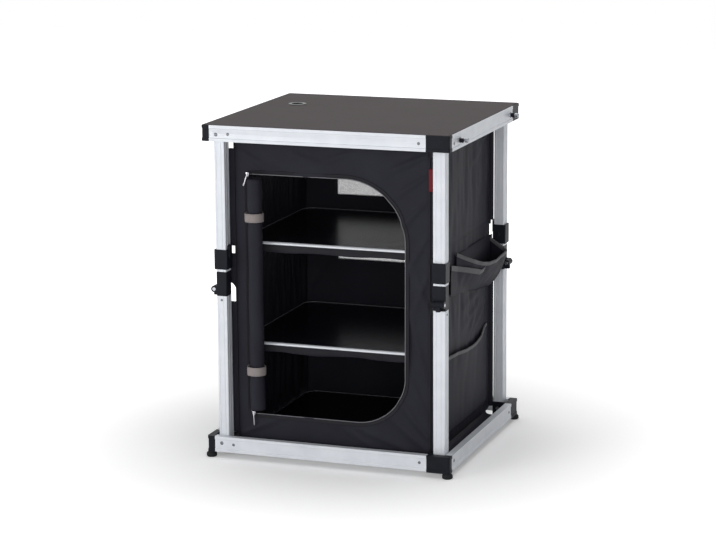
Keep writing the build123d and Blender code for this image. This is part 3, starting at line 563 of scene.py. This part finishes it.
def proud(x, z, lift):
    """A point on the front cloth's outer side, lifted off it."""
    y = front_place(np.array([x]), np.array([z]))[0, 1]
    return (x, y - PANEL_T / 2 - lift, z)


line = [proud(x, z, COIL_LIFT) for x, z in door_path(COIL_OUT)]
on_frame(tube("zip_coil", line, COIL_R, coil_nylon, True), "cloth")
rows = [[proud(x, z, lift) for x, z in door_path(grow)] for grow, lift in TAPE_PROFILE]
on_frame(strip("zip_tape", rows, tape_weave, closed=True), "cloth")


# Corner welts: the front cloth is joined to the side walls in a piped seam that runs down each
# corner, a dark cord in a cover of the tape's weave.
WELT_OUT, WELT_R = 0.0002, 0.0016
WELT_LOW, WELT_HIGH = 0.037, 0.790
FRONT_WELT_Y = FRONT_FACE - 0.0012


def corner_welts(end, y):
    """The piped seams down both corners at one end of the body."""
    for side, sign in SIDES:
        line = [(sign * (WALL + WELT_OUT), y, z) for z in np.linspace(WELT_LOW, WELT_HIGH, 60)]
        on_frame(tube(f"{side}_{end}_welt", line, WELT_R, tape_weave), "cloth")


corner_welts("front", FRONT_WELT_Y)


# Side walls: the same cloth in one piece from front to rear. They hang in loose upright folds
# between the shelves, which hold them out.
SIDE_Y, SIDE_T = 0.2290, 0.0008
SHELF_LEVELS = (0.041, 0.277, 0.519, 0.79)
CROSS_SEAM = 0.513  # the height of a seam across the folds
SIDE_FOLDS = {  # width of the broad and the fine folds, depth, seed
    -1: (0.030, 0.015, 2.7, 4.0), 1: (0.050, 0.020, 1.7, 17.0),
}
BROAD_RUN, FINE_RUN = 0.22, 0.10
SIDE_OUT, SIDE_OUT_MOST = 0.0021, 0.0046
SIDE_PULLS = {  # y, z, direction in degrees, length, width, height
    -1: ((0.2, 0.70, 215, 0.20, 0.012, 0.0020), (-0.2, 0.10, 35, 0.20, 0.012, 0.0020)),
    1: (
        (0.215, 0.365, 188, 0.26, 0.010, 0.0040),
        (0.210, 0.345, 196, 0.24, 0.009, 0.0036),
        (0.205, 0.325, 208, 0.20, 0.009, 0.0036),
        (0.150, 0.345, 222, 0.16, 0.009, 0.0034),
        (0.215, 0.740, 205, 0.20, 0.010, 0.0030),
    ),
}


def side_outline(u, v):
    return rounded(u, v, -SIDE_Y, SIDE_Y, panel_low.z, panel_high.z, SQUARE)


def side_place(sign):
    """Lays a wall out upright, with its folds and the pulls at its corners and pockets."""
    broad, fine, depth, seed = SIDE_FOLDS[sign]

    def place(u, v):
        upright = np.array([
            noise.noise((a / broad, b / BROAD_RUN, seed))
            + 0.6 * noise.noise((a / fine, b / FINE_RUN, seed + 9))
            for a, b in zip(u, v)
        ])
        held = np.min([np.abs(v - z) for z in SHELF_LEVELS], axis=0)
        loose = 0.25 + 0.75 * np.clip(held / 0.05, 0, 1) ** 0.7
        ends = np.clip((SIDE_Y - np.abs(u)) / 0.015, 0, 1)
        out = SIDE_OUT * (1 + depth * upright * loose) * ends
        for fold in SIDE_PULLS[sign]:
            out += crease(u, v, *fold)
        seam = np.exp(-((v - CROSS_SEAM) / 0.003) ** 2)
        out = np.clip(out, 0, SIDE_OUT_MOST) * (1 - 0.85 * seam)
        return np.stack([sign * (WALL + out), u, v], axis=1)
    return place


for side, sign in SIDES:
    wall = cloth_sheet(
        f"{side}_cloth",
        cut_lines(-SIDE_Y, SIDE_Y),
        cut_lines(panel_low.z, panel_high.z),
        side_outline,
        side_place(sign),
        SIDE_T,
    )
    on_frame(wall, "cloth", f"{side}_panel")


# Rear panel: the same cloth with two windows that let air and light in, a flap to each rear leg,
# cut round the knuckles and the collar, and its own piped seams to the side walls.
rear_low, rear_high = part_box("rear_panel")
REAR_FACE = 0.2305
REAR_WELT_Y = REAR_FACE - 0.0004
REAR_FLAP_LOW = 0.040
REAR_KNUCKLE_TOP, REAR_COLLAR_LOW, REAR_COLLAR_CLEAR = 0.503, 0.499, 0.2455
WINDOWS = ((0.390, 0.500), (0.555, 0.665))
WINDOW_HALF = 0.1555
REAR_CREASES = (  # as the front's
    (0.236, 0.745, 205, 0.16, 0.010, 0.0026),
    (-0.236, 0.745, -25, 0.16, 0.010, 0.0026),
    (0.236, 0.050, 150, 0.20, 0.011, 0.0030),
    (-0.236, 0.050, 30, 0.20, 0.011, 0.0030),
    (-0.236, 0.300, 60, 0.15, 0.012, 0.0022),
    (0.236, 0.300, 120, 0.15, 0.012, 0.0022),
)


def rear_outline(u, v):
    """Signed distance to the rear's edge, its windows and its cuts."""
    body = rounded(u, v, -WALL, WALL, rear_low.z, rear_high.z, BODY_RADII)
    flaps = rounded(u, v, rear_low.x, rear_high.x, REAR_FLAP_LOW, FLAP_HIGH, FLAP_RADII)
    cloth = np.minimum(body, flaps)
    for z0, z1 in WINDOWS:
        cloth = np.maximum(cloth, -rounded(u, v, -WINDOW_HALF, WINDOW_HALF, z0, z1, SQUARE))
    for low, high, start in (
        (KNEE_CUT[0], REAR_KNUCKLE_TOP, FLAP_ROOT),
        (REAR_COLLAR_LOW, KNEE_CUT[1], REAR_COLLAR_CLEAR),
    ):
        cloth = np.maximum(cloth, -rounded(np.abs(u), v, start, PAST_FLAP, low, high, SQUARE))
    return cloth


def rear_place(u, v):
    """Lays the rear out upright, with less pull and fullness than the front."""
    inside = np.clip((WALL - np.abs(u)) / 0.02, 0, 1)
    y = slack(u, v, 8.7, 0.10, 0.0020) * inside
    for fold in REAR_CREASES:
        y += crease(u, v, *fold)
    return np.stack([u, REAR_FACE + y, v], axis=1)


rear = cloth_sheet(
    "rear_cloth",
    cut_lines(
        rear_low.x, -REAR_COLLAR_CLEAR, -WALL, -WINDOW_HALF, WINDOW_HALF, WALL,
        REAR_COLLAR_CLEAR, rear_high.x,
    ),
    cut_lines(
        rear_low.z, REAR_FLAP_LOW, KNEE_CUT[0], *WINDOWS[0], REAR_KNUCKLE_TOP, KNEE_CUT[1],
        *WINDOWS[1], FLAP_HIGH, rear_high.z,
    ),
    rear_outline,
    rear_place,
)
on_frame(rear, "cloth", "rear_panel")
corner_welts("rear", REAR_WELT_Y)


# Window nets: knitted white polyester, matte, sewn in behind the windows under a taped edge.
# One sees through their holes, so they look pale grey.
NET_WHITE, NET_SHADE = "#F2F2F5", "#D4D4DA"
NET_HOLE = 1.2  # mm between the holes, as on the real net
NET_IN, NET_T = -0.0004, 0.0004
NET_EDGE_OUT, NET_EDGE_R = 0.0012, 0.0018
EDGE_STEPS = 24

knitted, tree, shader, _, hole = new_material(
    "knitted_white_net", (NET_WHITE, NET_SHADE),
    "TexVoronoi", {"Scale": 1 / NET_HOLE}, {"feature": "DISTANCE_TO_EDGE"}, by="Distance",
    Roughness=0.8, Specular_IOR_Level=0.2,
)
thread = add(tree, "MapRange", {
    "Value": hole, "From Min": 0.06, "From Max": 0.16, "To Min": 0.95, "To Max": 0.12,
})
tree.links.new(thread.outputs["Result"], shader.inputs["Alpha"])


def on_rear(x, z, out):
    """A point on the rear cloth, moved out from it."""
    return (x, rear_place(np.array([x]), np.array([z]))[0, 1] + out, z)


for name, (z0, z1) in zip(("lower_net", "upper_net"), WINDOWS):
    xs, zs = np.linspace(-WINDOW_HALF, WINDOW_HALF, 40), np.linspace(z0, z1, 16)
    net = strip(name, [[on_rear(x, z, NET_IN) for x in xs] for z in zs], knitted, NET_T)
    on_frame(net, "mesh", "rear_vents")
    corners = [(-WINDOW_HALF, z0), (WINDOW_HALF, z0), (WINDOW_HALF, z1), (-WINDOW_HALF, z1)]
    edge = [
        on_rear(xa + (xb - xa) * k / EDGE_STEPS, za + (zb - za) * k / EDGE_STEPS, NET_EDGE_OUT)
        for (xa, za), (xb, zb) in zip(corners, corners[1:] + corners[:1])
        for k in range(EDGE_STEPS)
    ]
    on_frame(tube(f"{name}_edge", edge, NET_EDGE_R, tape_weave, True), "cloth")


# Shelves: a stiff board in a cover of coated cloth, which has a smooth sheen, with an edge of
# grey, lightly glossy PVC piping, an aluminium channel pressed on its front, and a hem below it.
COVER, COVER_LIGHT = "#15151B", "#1C1C24"
COVER_GRAIN = 2  # mm between the grains of the coating, real ones are about 0.3
PIPING_GREY, PIPING_LIGHT = "#5A5A60", "#77777D"
SCUFF = 10  # mm across a scuff
SHELF_HALF, SHELF_FRONT, SHELF_REAR = 0.2376, -0.2230, 0.2230
CORNER_R = 0.028
BOARD_TOP, BOARD_LOW, BOARD_EDGE = -0.0009, -0.0052, 0.0010
BOARD_BACK, PIPING_BACK, PIPING_IN = 0.0018, 0.008, 0.0025
PIPING_R, PIPING_RISE = 0.0013, 0.0004
CHANNEL = (  # distance back from the shelf's front, height from its top
    (0.0, 0.0010), (0.0004, 0.0002), (0.0012, 0.0), (0.0072, 0.0), (0.0072, -0.0008),
    (0.0014, -0.0008), (0.0014, -0.0054), (0.0072, -0.0054), (0.0072, -0.0062),
    (0.0012, -0.0062), (0.0004, -0.0060), (0.0, -0.0050),
)
HEM_TOP, HEM_DROP, HEM_BACK, HEM_WAVE = -0.0058, 0.017, 0.0012, 0.0035
HEM_T, HEM_FOLD_R = 0.0012, 0.0010

cover_cloth, tree, shader, _, grain = new_material(
    "coated_polyester_cover", (COVER, COVER_LIGHT),
    "TexNoise", {"Scale": 1 / COVER_GRAIN, "Detail": 2.0},
    Roughness=0.24, IOR=1.5, Specular_IOR_Level=0.2,
)
relief = add(tree, "Bump", {"Height": grain, "Strength": 0.1, "Distance": 0.0003})
tree.links.new(relief.outputs["Normal"], shader.inputs["Normal"])

pvc, *_ = new_material(
    "extruded_pvc_piping", (PIPING_GREY, PIPING_LIGHT),
    "TexNoise", {"Scale": 1 / SCUFF},
    Roughness=0.4, IOR=1.53,
)


def board_outline(front_y, rear_y):
    """Plan of a board with rounded rear corners."""
    points = [(-SHELF_HALF, front_y), (SHELF_HALF, front_y)]
    cy = rear_y - CORNER_R
    for cx, start in ((SHELF_HALF - CORNER_R, 0), (-SHELF_HALF + CORNER_R, 90)):
        for k in range(11):
            angle = math.radians(start + 9 * k)
            points.append((cx + CORNER_R * math.cos(angle), cy + CORNER_R * math.sin(angle)))
    return points


def slab(name, plan, z0, z1, material, bevel):
    """A flat board cut to a plan, with rounded edges."""
    n = len(plan)
    points = [(x, y, z) for z in (z0, z1) for x, y in plan]
    faces = [tuple(range(n - 1, -1, -1)), tuple(range(n, 2 * n))]
    faces += [(k, (k + 1) % n, n + (k + 1) % n, n + k) for k in range(n)]
    piece = surface(name, points, faces, material)
    piece.data.polygons.foreach_set("use_smooth", [False] * len(piece.data.polygons))
    edge = piece.modifiers.new("edges", "BEVEL")
    edge.width = bevel
    edge.segments = 3
    edge.limit_method = "ANGLE"
    edge.harden_normals = True
    return piece


for shelf in ("lower_shelf", "upper_shelf"):
    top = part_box(shelf)[1].z
    plan = board_outline(SHELF_FRONT + BOARD_BACK, SHELF_REAR)
    low, high = top + BOARD_LOW, top + BOARD_TOP
    board = slab(f"{shelf}_board", plan, low, high, cover_cloth, BOARD_EDGE)
    plan = board_outline(SHELF_FRONT + PIPING_BACK, SHELF_REAR - PIPING_IN)
    line = [(x, y, top - PIPING_RISE) for x, y in plan[1:] + plan[:1]]
    piping = tube(f"{shelf}_piping", line, PIPING_R, pvc)
    rows = [
        [(x, SHELF_FRONT + back, top + up) for back, up in CHANNEL]
        for x in np.linspace(-SHELF_HALF, SHELF_HALF, 3)
    ]
    channel = strip(f"{shelf}_channel", rows, anodised, closed=True)
    rows = []
    for drop in np.linspace(0, 1, 8):
        row = []
        for x in np.linspace(-SHELF_HALF, SHELF_HALF, 90):
            wave = HEM_WAVE * drop * (1 + noise.noise((x / 0.05, drop, top * 30)))
            fall = HEM_DROP * drop * (1 + 0.25 * noise.noise((x / 0.09, 3.0, top * 50)))
            row.append((x, SHELF_FRONT + HEM_BACK + wave, top + HEM_TOP - fall))
        rows.append(row)
    hem = strip(f"{shelf}_hem", rows, tape_weave, HEM_T)
    fold = tube(f"{shelf}_hem_fold", rows[-1], HEM_FOLD_R, woven)
    for piece, finish in (
        (board, "covered_board"), (piping, "cloth"), (channel, "aluminium"), (hem, "cloth"),
        (fold, "cloth"),
    ):
        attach(piece, shelf)
    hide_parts(shelf)


# Floor board: the same covered board, with the piping round its edge. It lies on the base rails,
# and the body's side walls end in two flaps that are tucked under it and over the rails. They
# fall a little towards the end where the folding leg comes to lie.
FLOOR_FRONT, FLOOR_REAR = -0.2260, 0.2265
FLAP_PLAN = (  # distance from the middle, height
    (0.2422, 0.0355), (0.2440, 0.0300), (0.2480, 0.0270), (0.2560, 0.0262), (0.2700, 0.0258),
    (0.2860, 0.0262),
)
FLAP_FALL = 0.0036
FLAP_FRONT, FLAP_REAR, FLAP_T = -0.222, 0.200, 0.0010

dress(["floor_board"], cover_cloth, 1.0)
floor_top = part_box("floor_board")[1].z
line = [(x, y, floor_top + PIPING_RISE) for x, y in board_outline(FLOOR_FRONT, FLOOR_REAR)]
floor_piping = tube("floor_piping", line, PIPING_R, pvc, True)
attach(floor_piping, "base_frame")
for side, sign in SIDES:
    rows = []
    for y in np.linspace(FLAP_FRONT, FLAP_REAR, 60):
        fall = FLAP_FALL * np.clip((-sign * y - 0.04) / 0.17, 0, 1)
        rows.append([
            (sign * x, y, z + 0.0010 * noise.noise((y / 0.05, x / 0.02, sign * 9.0)) - fall)
            for x, z in FLAP_PLAN
        ])
    flap = strip(f"{side}_floor_flap", rows, woven, FLAP_T)
    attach(flap, "base_frame")


# Rolled door: the panel that closes the opening, unzipped and rolled up at its left edge in
# five uneven turns, drawn in where the ties hold it, and sewn to the panel along its last edge.
roll_low, roll_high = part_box("rolled_door")
TIES = (0.213, 0.581)
TIE_REACH = 0.022
ROLL_X, ROLL_Y = -0.1852, -0.2467
ROLL_TURNS = 4.75
ROLL_OUT, ROLL_IN, ROLL_T = 0.0192, 0.0042, 0.0011
SEWN_X, SEWN_Y = -0.2036, -0.2300

turn_angles = np.linspace(math.pi - 2 * math.pi * ROLL_TURNS, math.pi, 150)
rows = []
for z in np.linspace(roll_low.z, roll_high.z, 110):
    drawn = sum(math.exp(-((z - tie) / TIE_REACH) ** 2) for tie in TIES)
    row = []
    for angle in turn_angles:
        share = (angle - turn_angles[0]) / (turn_angles[-1] - turn_angles[0])
        lump = noise.noise((math.cos(angle) * 1.1, math.sin(angle) * 1.1, z / 0.07))
        r = ROLL_IN + (ROLL_OUT - ROLL_IN) * share
        r *= 1 - 0.10 * drawn + 0.08 * lump * (1 - 0.8 * drawn)
        row.append((ROLL_X + r * math.cos(angle), ROLL_Y + r * math.sin(angle), z))
    x, y, z = row[-1]
    for k in range(1, 6):
        row.append((x + (SEWN_X - x) * k / 5, y + (SEWN_Y - y) * k / 5, z))
    rows.append(row)
roll = strip("rolled_door_cloth", rows, woven, ROLL_T)
on_frame(roll, "cloth", "rolled_door")


# Ties: two loops of flat woven webbing that close round the roll, with a doubled end sewn down.
# Grey-beige and matte, with ribs across that catch the light.
TIE_BEIGE, TIE_BEIGE_LIGHT = "#7F7776", "#9C9493"
TIE_RIB = 2.0  # mm between the ribs, real ones are about 1.2
TIE_R, TIE_HALF, TIE_T, TIE_CROWN = 0.0208, 0.0102, 0.0013, 0.0004
DOUBLED_TO, DOUBLED_OUT = 236, 0.0014  # the angle where the doubled end stops, and its lift

webbing, tree, shader, _, rib = new_material(
    "woven_polyester_webbing", (TIE_BEIGE, TIE_BEIGE_LIGHT),
    "TexWave", {"Scale": BAND / TIE_RIB, "Distortion": 0.3}, {"bands_direction": "Z"},
    Roughness=0.62, IOR=1.5, Specular_IOR_Level=0.2, Sheen_Weight=0.1,
)
relief = add(tree, "Bump", {"Height": rib, "Strength": 0.3, "Distance": 0.0004})
tree.links.new(relief.outputs["Normal"], shader.inputs["Normal"])
for name, middle in zip(("lower_tie", "upper_tie"), TIES):
    rows = []
    for across in np.linspace(-1, 1, 7):
        row = []
        for angle in np.radians(np.linspace(140, 455, 70)):
            doubled = DOUBLED_OUT if math.degrees(angle) < DOUBLED_TO else 0.0
            r = TIE_R + doubled + TIE_CROWN * (1 - across ** 2)
            x, y = ROLL_X + r * math.cos(angle), ROLL_Y + r * math.sin(angle)
            row.append((x, y, middle + TIE_HALF * across))
        rows.append(row)
    tie = strip(name, rows, webbing, TIE_T)
    on_frame(tie, "webbing", "door_ties")


# Zip sliders: cast zinc, nickel plated, which shines softly, each with a long pull. The upper
# one's hangs over to the left, the lower one's straight down.
NICKEL, NICKEL_LIGHT = "#8E8E93", "#B2B2B7"
SLIDER = (  # x, z round the slider's body
    (-0.0044, 0.0048), (0.0044, 0.0048), (0.0040, 0.0), (0.0024, -0.0046), (-0.0024, -0.0046),
    (-0.0040, 0.0),
)
PULL = (  # x, z round the pull, from where it hangs
    (-0.0010, 0.0016), (0.0010, 0.0016), (0.0012, -0.006), (0.0014, -0.018), (0.0018, -0.026),
    (0.0010, -0.0290), (-0.0010, -0.0290), (-0.0018, -0.026), (-0.0014, -0.018), (-0.0012, -0.006),
)
SLIDERS = (  # name, x, z, the pull's tilt in degrees
    ("upper_slider", -0.2055, 0.6790, -20), ("lower_slider", -0.1990, 0.1040, 3),
)
SLIDER_OUT, SLIDER_EDGE = 0.0042, 0.0004

nickel, *_ = new_material(
    "nickel_plated_zinc", (NICKEL, NICKEL_LIGHT),
    "TexNoise", {"Scale": 1 / MOTTLE},
    Metallic=1.0, Roughness=0.22,
)


def plate(outline, y0, y1, at, tilt):
    """Points and faces of a small plate with an outline in x and z, turned about its top."""
    c, s = math.cos(math.radians(tilt)), math.sin(math.radians(tilt))
    n = len(outline)
    points = [
        (at[0] + x * c - z * s, at[1] + y, at[2] + x * s + z * c)
        for y in (y0, y1) for x, z in outline
    ]
    faces = [tuple(range(n)), tuple(range(2 * n - 1, n - 1, -1))]
    faces += [(k, n + k, n + (k + 1) % n, (k + 1) % n) for k in range(n)]
    return points, faces


for name, x, z, tilt in SLIDERS:
    face = (x, FRONT_FACE - SLIDER_OUT, z)
    points, faces = [], []
    for outline, y0, y1, turn in (
        (SLIDER, 0.0, -0.0022, 0),
        (SLIDER[1:5], -0.0022, -0.0034, 0),
        (PULL, -0.0036, -0.0050, tilt),
    ):
        more, sides = plate(outline, y0, y1, face, turn)
        faces += [tuple(k + len(points) for k in side) for side in sides]
        points += more
    slider = surface(name, points, faces, nickel)
    edge = slider.modifiers.new("edges", "BEVEL")
    edge.width = SLIDER_EDGE
    edge.segments = 2
    on_frame(slider, "steel", "zip_pulls")


# Pockets on the right wall: a pouch that stands open like a scoop, a smaller pocket on its face,
# and a flat pocket below, all of the body's cloth. Each mouth is bound with a folded grey tape,
# woven and matte.
BINDING_GREY, BINDING_LIGHT = "#4E4E52", "#66666A"
BINDING_WEAVE = 2.5  # mm between the binding's threads, real ones are about 0.4
POUCH = (  # y, reach out of the wall, bottom, mouth's outer edge
    (-0.056, 0.003, 0.395, 0.485),
    (-0.025, 0.015, 0.388, 0.4714),
    (0.010, 0.026, 0.380, 0.4576),
    (0.050, 0.035, 0.372, 0.4446),
    (0.090, 0.041, 0.365, 0.4370),
    (0.130, 0.047, 0.360, 0.4367),
    (0.165, 0.053, 0.356, 0.4455),
    (0.190, 0.055, 0.353, 0.4480),
    (0.207, 0.041, 0.352, 0.4510),
    (0.217, 0.004, 0.352, 0.4720),
)
POUCH_START = POUCH[0][0]
POUCH_BACK, BACK_TOP = 0.2447, 0.4785
POUCH_T, BACK_T, POCKET_T = 0.0012, 0.0006, 0.0010
SMALL_START, SMALL_END, SMALL_LOW = -0.100, 0.072, 0.388
LOW_START, LOW_END = -0.165, 0.195
SMALL_MOUTH = (  # y, height of the small pocket's mouth
    (-0.100, 0.4635), (-0.060, 0.4539), (-0.020, 0.4440), (0.020, 0.4335), (0.055, 0.4245),
    (0.072, 0.4290),
)
LOW_MOUTH = (  # y, height of the flat pocket's mouth
    (-0.165, 0.250), (-0.060, 0.2470), (-0.020, 0.2430), (0.020, 0.2390), (0.060, 0.2372),
    (0.100, 0.2375), (0.140, 0.2427), (0.165, 0.2540), (0.178, 0.2600), (0.195, 0.2610),
)
LOW_X, LOW_BOTTOM = 0.2454, 0.060
POUCH_BAND, FRONT_BAND, LOW_BAND = 0.0095, 0.0130, 0.0085
BINDING = (  # share of the binding's width, lift from the cloth, from inside over the edge
    (1.0, -0.0016), (0.88, -0.0022), (0.12, -0.0022), (0.0, -0.0010),
    (0.0, 0.0009), (0.12, 0.0015), (0.5, 0.0013), (0.88, 0.0015), (1.0, 0.0009), (1.0, 0.0),
)

binding, *_ = new_material(
    "woven_grey_binding", (BINDING_GREY, BINDING_LIGHT),
    "TexNoise", {"Scale": 1 / BINDING_WEAVE},
    Roughness=0.6, IOR=1.5, Specular_IOR_Level=0.2,
)


def between(y, table, column=1):
    """The value in a table's column at a place between its rows."""
    return np.interp(y, [row[0] for row in table], [row[column] for row in table])


def pouch_skin(y, z):
    """A point on the pouch's outer face at a height."""
    out, low, mouth = (between(y, POUCH, column) for column in (1, 2, 3))
    share = min(max((z - low) / (mouth - low), 0.0), 1.0)
    bend = np.interp(y, (POUCH_START, 0.19), (1.35, 0.62))
    sag = 0.0016 * noise.noise((y / 0.022, share * 3, 5.0)) * share
    gather = 0.0010 * math.sin(y / 0.006 + 3 * share) * share * (1 - share)
    belly = 0.004 * math.sin(math.pi * share) * out / 0.055
    return (POUCH_BACK + out * share ** bend + belly + sag + gather, y, z)


def bound_edge(name, rows, width):
    """A folded tape sewn over the last row's edge, that reaches down the cloth by its width."""
    bands = []
    for share, lift in BINDING:
        band = []
        for k, (x, y, z) in enumerate(rows[-1]):
            down = width * share
            below = [row[k] for row in rows][::-1]
            at = float(np.interp(down, [z - p[2] for p in below], [p[0] for p in below]))
            before, after = rows[-1][max(k - 1, 0)], rows[-1][min(k + 1, len(rows[-1]) - 1)]
            outward = Vector((after[1] - before[1], before[0] - after[0])).normalized() * lift
            band.append((at + outward.x, y + outward.y, z + 0.0006 - down))
        bands.append(band)
    on_frame(strip(name, bands, binding), "cloth")


rows = []
for s in np.linspace(0, 1, 26):
    row = []
    for y in np.append(np.linspace(POUCH_START, 0.185, 66), np.linspace(0.188, 0.217, 22)):
        low, mouth = between(y, POUCH, 2), between(y, POUCH, 3)
        row.append(pouch_skin(y, low + (mouth - low) * s))
    rows.append(row)
pouch = strip("pouch_cloth", rows, woven, POUCH_T)
on_frame(pouch, "cloth", "side_pockets")
bound_edge("pouch_binding", rows, POUCH_BAND)

rows = []
for y in np.linspace(-0.054, 0.2280, 40):
    low = between(y, POUCH, 2) + 0.003
    x = np.interp(y, (0.195, 0.222), (POUCH_BACK, 0.2492))
    rows.append([(x, y, low + (BACK_TOP - low) * s) for s in (0.0, 0.5, 1.0)])
lining = strip("pouch_back", rows, woven, BACK_T)
on_frame(lining, "cloth")

rows = []
for s in np.linspace(0, 1, 16):
    row = []
    for y in np.linspace(SMALL_START, SMALL_END, 56):
        low = SMALL_LOW - 0.10 * (y - SMALL_START)
        z = low + (between(y, SMALL_MOUTH) - low) * s
        x = max(pouch_skin(max(y, POUCH_START), z)[0], POUCH_BACK + 0.0010)
        full = math.sin(math.pi * (y - SMALL_START) / (SMALL_END - SMALL_START))
        bulge = (0.0050 * s * s + 0.0008 * noise.noise((y / 0.02, s * 3, 7.0))) * full
        row.append((x + 0.0016 + bulge, y, z))
    rows.append(row)
small = strip("pouch_front_pocket", rows, woven, POCKET_T)
on_frame(small, "cloth")
bound_edge("pouch_front_binding", rows, FRONT_BAND)

rows = []
for s in np.linspace(0, 1, 36):
    row = []
    for y in np.linspace(LOW_START, LOW_END, 90):
        middle = math.sin(math.pi * (y - LOW_START) / (LOW_END - LOW_START))
        drape = 0.0022 * noise.noise((y / 0.030, s * 1.6, 2.0)) * (0.3 + 0.7 * s)
        out = (0.0012 + 0.0085 * s ** 2 + drape) * middle
        z = LOW_BOTTOM + (between(y, LOW_MOUTH) - LOW_BOTTOM) * s
        row.append((LOW_X + max(out, 0.0), y, z))
    rows.append(row)
low = strip("low_pocket_cloth", rows, woven, POCKET_T)
on_frame(low, "cloth")
bound_edge("low_pocket_binding", rows, LOW_BAND)


# Tab: a short ribbon of woven red polyester, folded double and sewn into the front cloth's right
# edge. Its weave is matte, and it stays plain.
RIBBON_RED, RIBBON_RED_LIGHT = "#560812", "#6E0E1A"
TAB_OPEN, TAB_T = 0.0012, 0.0006

ribbon, *_ = new_material(
    "woven_red_ribbon", (RIBBON_RED, RIBBON_RED_LIGHT),
    "TexWave", {"Scale": BAND / RIB}, {"bands_direction": "Z"},
    Roughness=0.55, IOR=1.5, Specular_IOR_Level=0.2,
)
tab_low, tab_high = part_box("edge_tab")
rows = []
for s in np.linspace(0, 1, 12):
    x = tab_high.x - (tab_high.x - tab_low.x) * math.sin(math.pi * s)
    y = tab_low.y + TAB_OPEN * math.cos(math.pi * s)
    rows.append([(x, y, z) for z in np.linspace(tab_low.z, tab_high.z, 14)])
tab = strip("red_tab", rows, ribbon, TAB_T)
on_frame(tab, "red_webbing", "edge_tab")


# Studio: white painted floor in a white room that is lighter on the left, one wide lamp from
# the front left, a fill and a top lamp, and the camera at the photograph's angle.
FLOOR_WHITE, FLOOR_SPECK = "#FFFFFF", "#FDFDFD"
SPECK = 100  # mm across a speck
SHADOW_END, GLOW_FULL = 350.0, 1500.0  # mm from the middle, where the floor starts to glow
FLOOR_GLOW = 0.20
LIT_FROM = (-0.87, -0.35, 0.35)
ROOM_DARK, ROOM_LIGHT = 0.16, 0.44
LAMPS = (  # name, place, width, watts
    ("key_lamp", (-3.6, -4.8, 1.3), 2.7, 98.0),
    ("fill_lamp", (1.6, -4.9, 0.8), 2.4, 58.0),
    ("top_lamp", (0.2, 0.4, 3.2), 2.0, 26.0),
)
LAMPS_AIM = Vector((0, 0, 0.4))
AZIMUTH, ELEVATION, ROLL = math.radians(19.92), math.radians(11.98), math.radians(-0.44)
CAMERA_AIM, CAMERA_AWAY = Vector((-0.0192, 0, 0.4158)), 5.8714
LENS, SENSOR = 122.3, 36.0


def seen_directly(tree):
    """1 for the rays that show the white surroundings, 0 for those that light the object."""
    ray = add(tree, "LightPath").outputs
    seen = ray["Is Camera Ray"]
    for other in ("Is Glossy Ray", "Is Transmission Ray"):
        seen = add(tree, "Math", {0: seen, 1: ray[other]}, operation="MAXIMUM").outputs["Value"]
    return seen


white, tree, shader, mm, _ = new_material(
    "white_painted_floor", (FLOOR_SPECK, FLOOR_WHITE),
    "TexNoise", {"Scale": 1 / SPECK},
    Roughness=0.9, Specular_IOR_Level=0.0,
)
away = add(tree, "VectorMath", {0: mm}, operation="LENGTH")
glow = add(tree, "MapRange", {
    "Value": away.outputs["Value"], "From Min": SHADOW_END, "From Max": GLOW_FULL,
    "To Min": FLOOR_GLOW, "To Max": 1.0,
})
glow = add(
    tree, "Math", {0: glow.outputs["Result"], 1: seen_directly(tree)}, operation="MULTIPLY"
)
tree.links.new(glow.outputs["Value"], shader.inputs["Emission Strength"])
shader.inputs["Emission Color"].default_value = (1, 1, 1, 1)
corners = [(-8, -8, 0), (8, -8, 0), (8, 8, 0), (-8, 8, 0)]
surface("floor", corners, [(0, 1, 2, 3)], white)

world = bpy.data.worlds.new("white_room")
scene.world = world
world.use_nodes = True
tree = world.node_tree
place = add(tree, "TexCoord").outputs["Generated"]
facing = add(tree, "VectorMath", {0: place, 1: LIT_FROM}, operation="DOT_PRODUCT")
soft = add(tree, "MapRange", {
    "Value": facing.outputs["Value"], "From Min": -0.7, "From Max": 0.5,
    "To Min": ROOM_DARK, "To Max": ROOM_LIGHT,
})
level = add(tree, "MapRange", {
    "Value": seen_directly(tree), "To Min": soft.outputs["Result"], "To Max": 1.0,
})
tree.links.new(level.outputs["Result"], tree.nodes["Background"].inputs["Strength"])
tree.nodes["Background"].inputs["Color"].default_value = (1, 1, 1, 1)

for name, spot, width, watts in LAMPS:
    lamp = bpy.data.lights.new(name, "AREA")
    lamp.size = width
    lamp.energy = watts
    holder = bpy.data.objects.new(name, lamp)
    holder.location = spot
    holder.rotation_euler = (LAMPS_AIM - Vector(spot)).to_track_quat("-Z", "Y").to_euler()
    scene.collection.objects.link(holder)

right = Vector((math.cos(AZIMUTH), math.sin(AZIMUTH), 0))
level_back = Vector((math.sin(AZIMUTH), -math.cos(AZIMUTH), 0))
back = level_back * math.cos(ELEVATION) + Vector((0, 0, math.sin(ELEVATION)))
up = back.cross(right)
turned_right = right * math.cos(ROLL) + up * math.sin(ROLL)
turned_up = up * math.cos(ROLL) - right * math.sin(ROLL)
lens = bpy.data.cameras.new("camera")
lens.lens = LENS
lens.sensor_width = SENSOR
lens.clip_end = 50.0
camera = bpy.data.objects.new("camera", lens)
camera.matrix_world = Matrix.Translation(CAMERA_AIM + back * CAMERA_AWAY) @ Matrix(
    (turned_right, turned_up, back)
).transposed().to_4x4()
scene.collection.objects.link(camera)
scene.camera = camera
scene.view_settings.view_transform = "Standard"
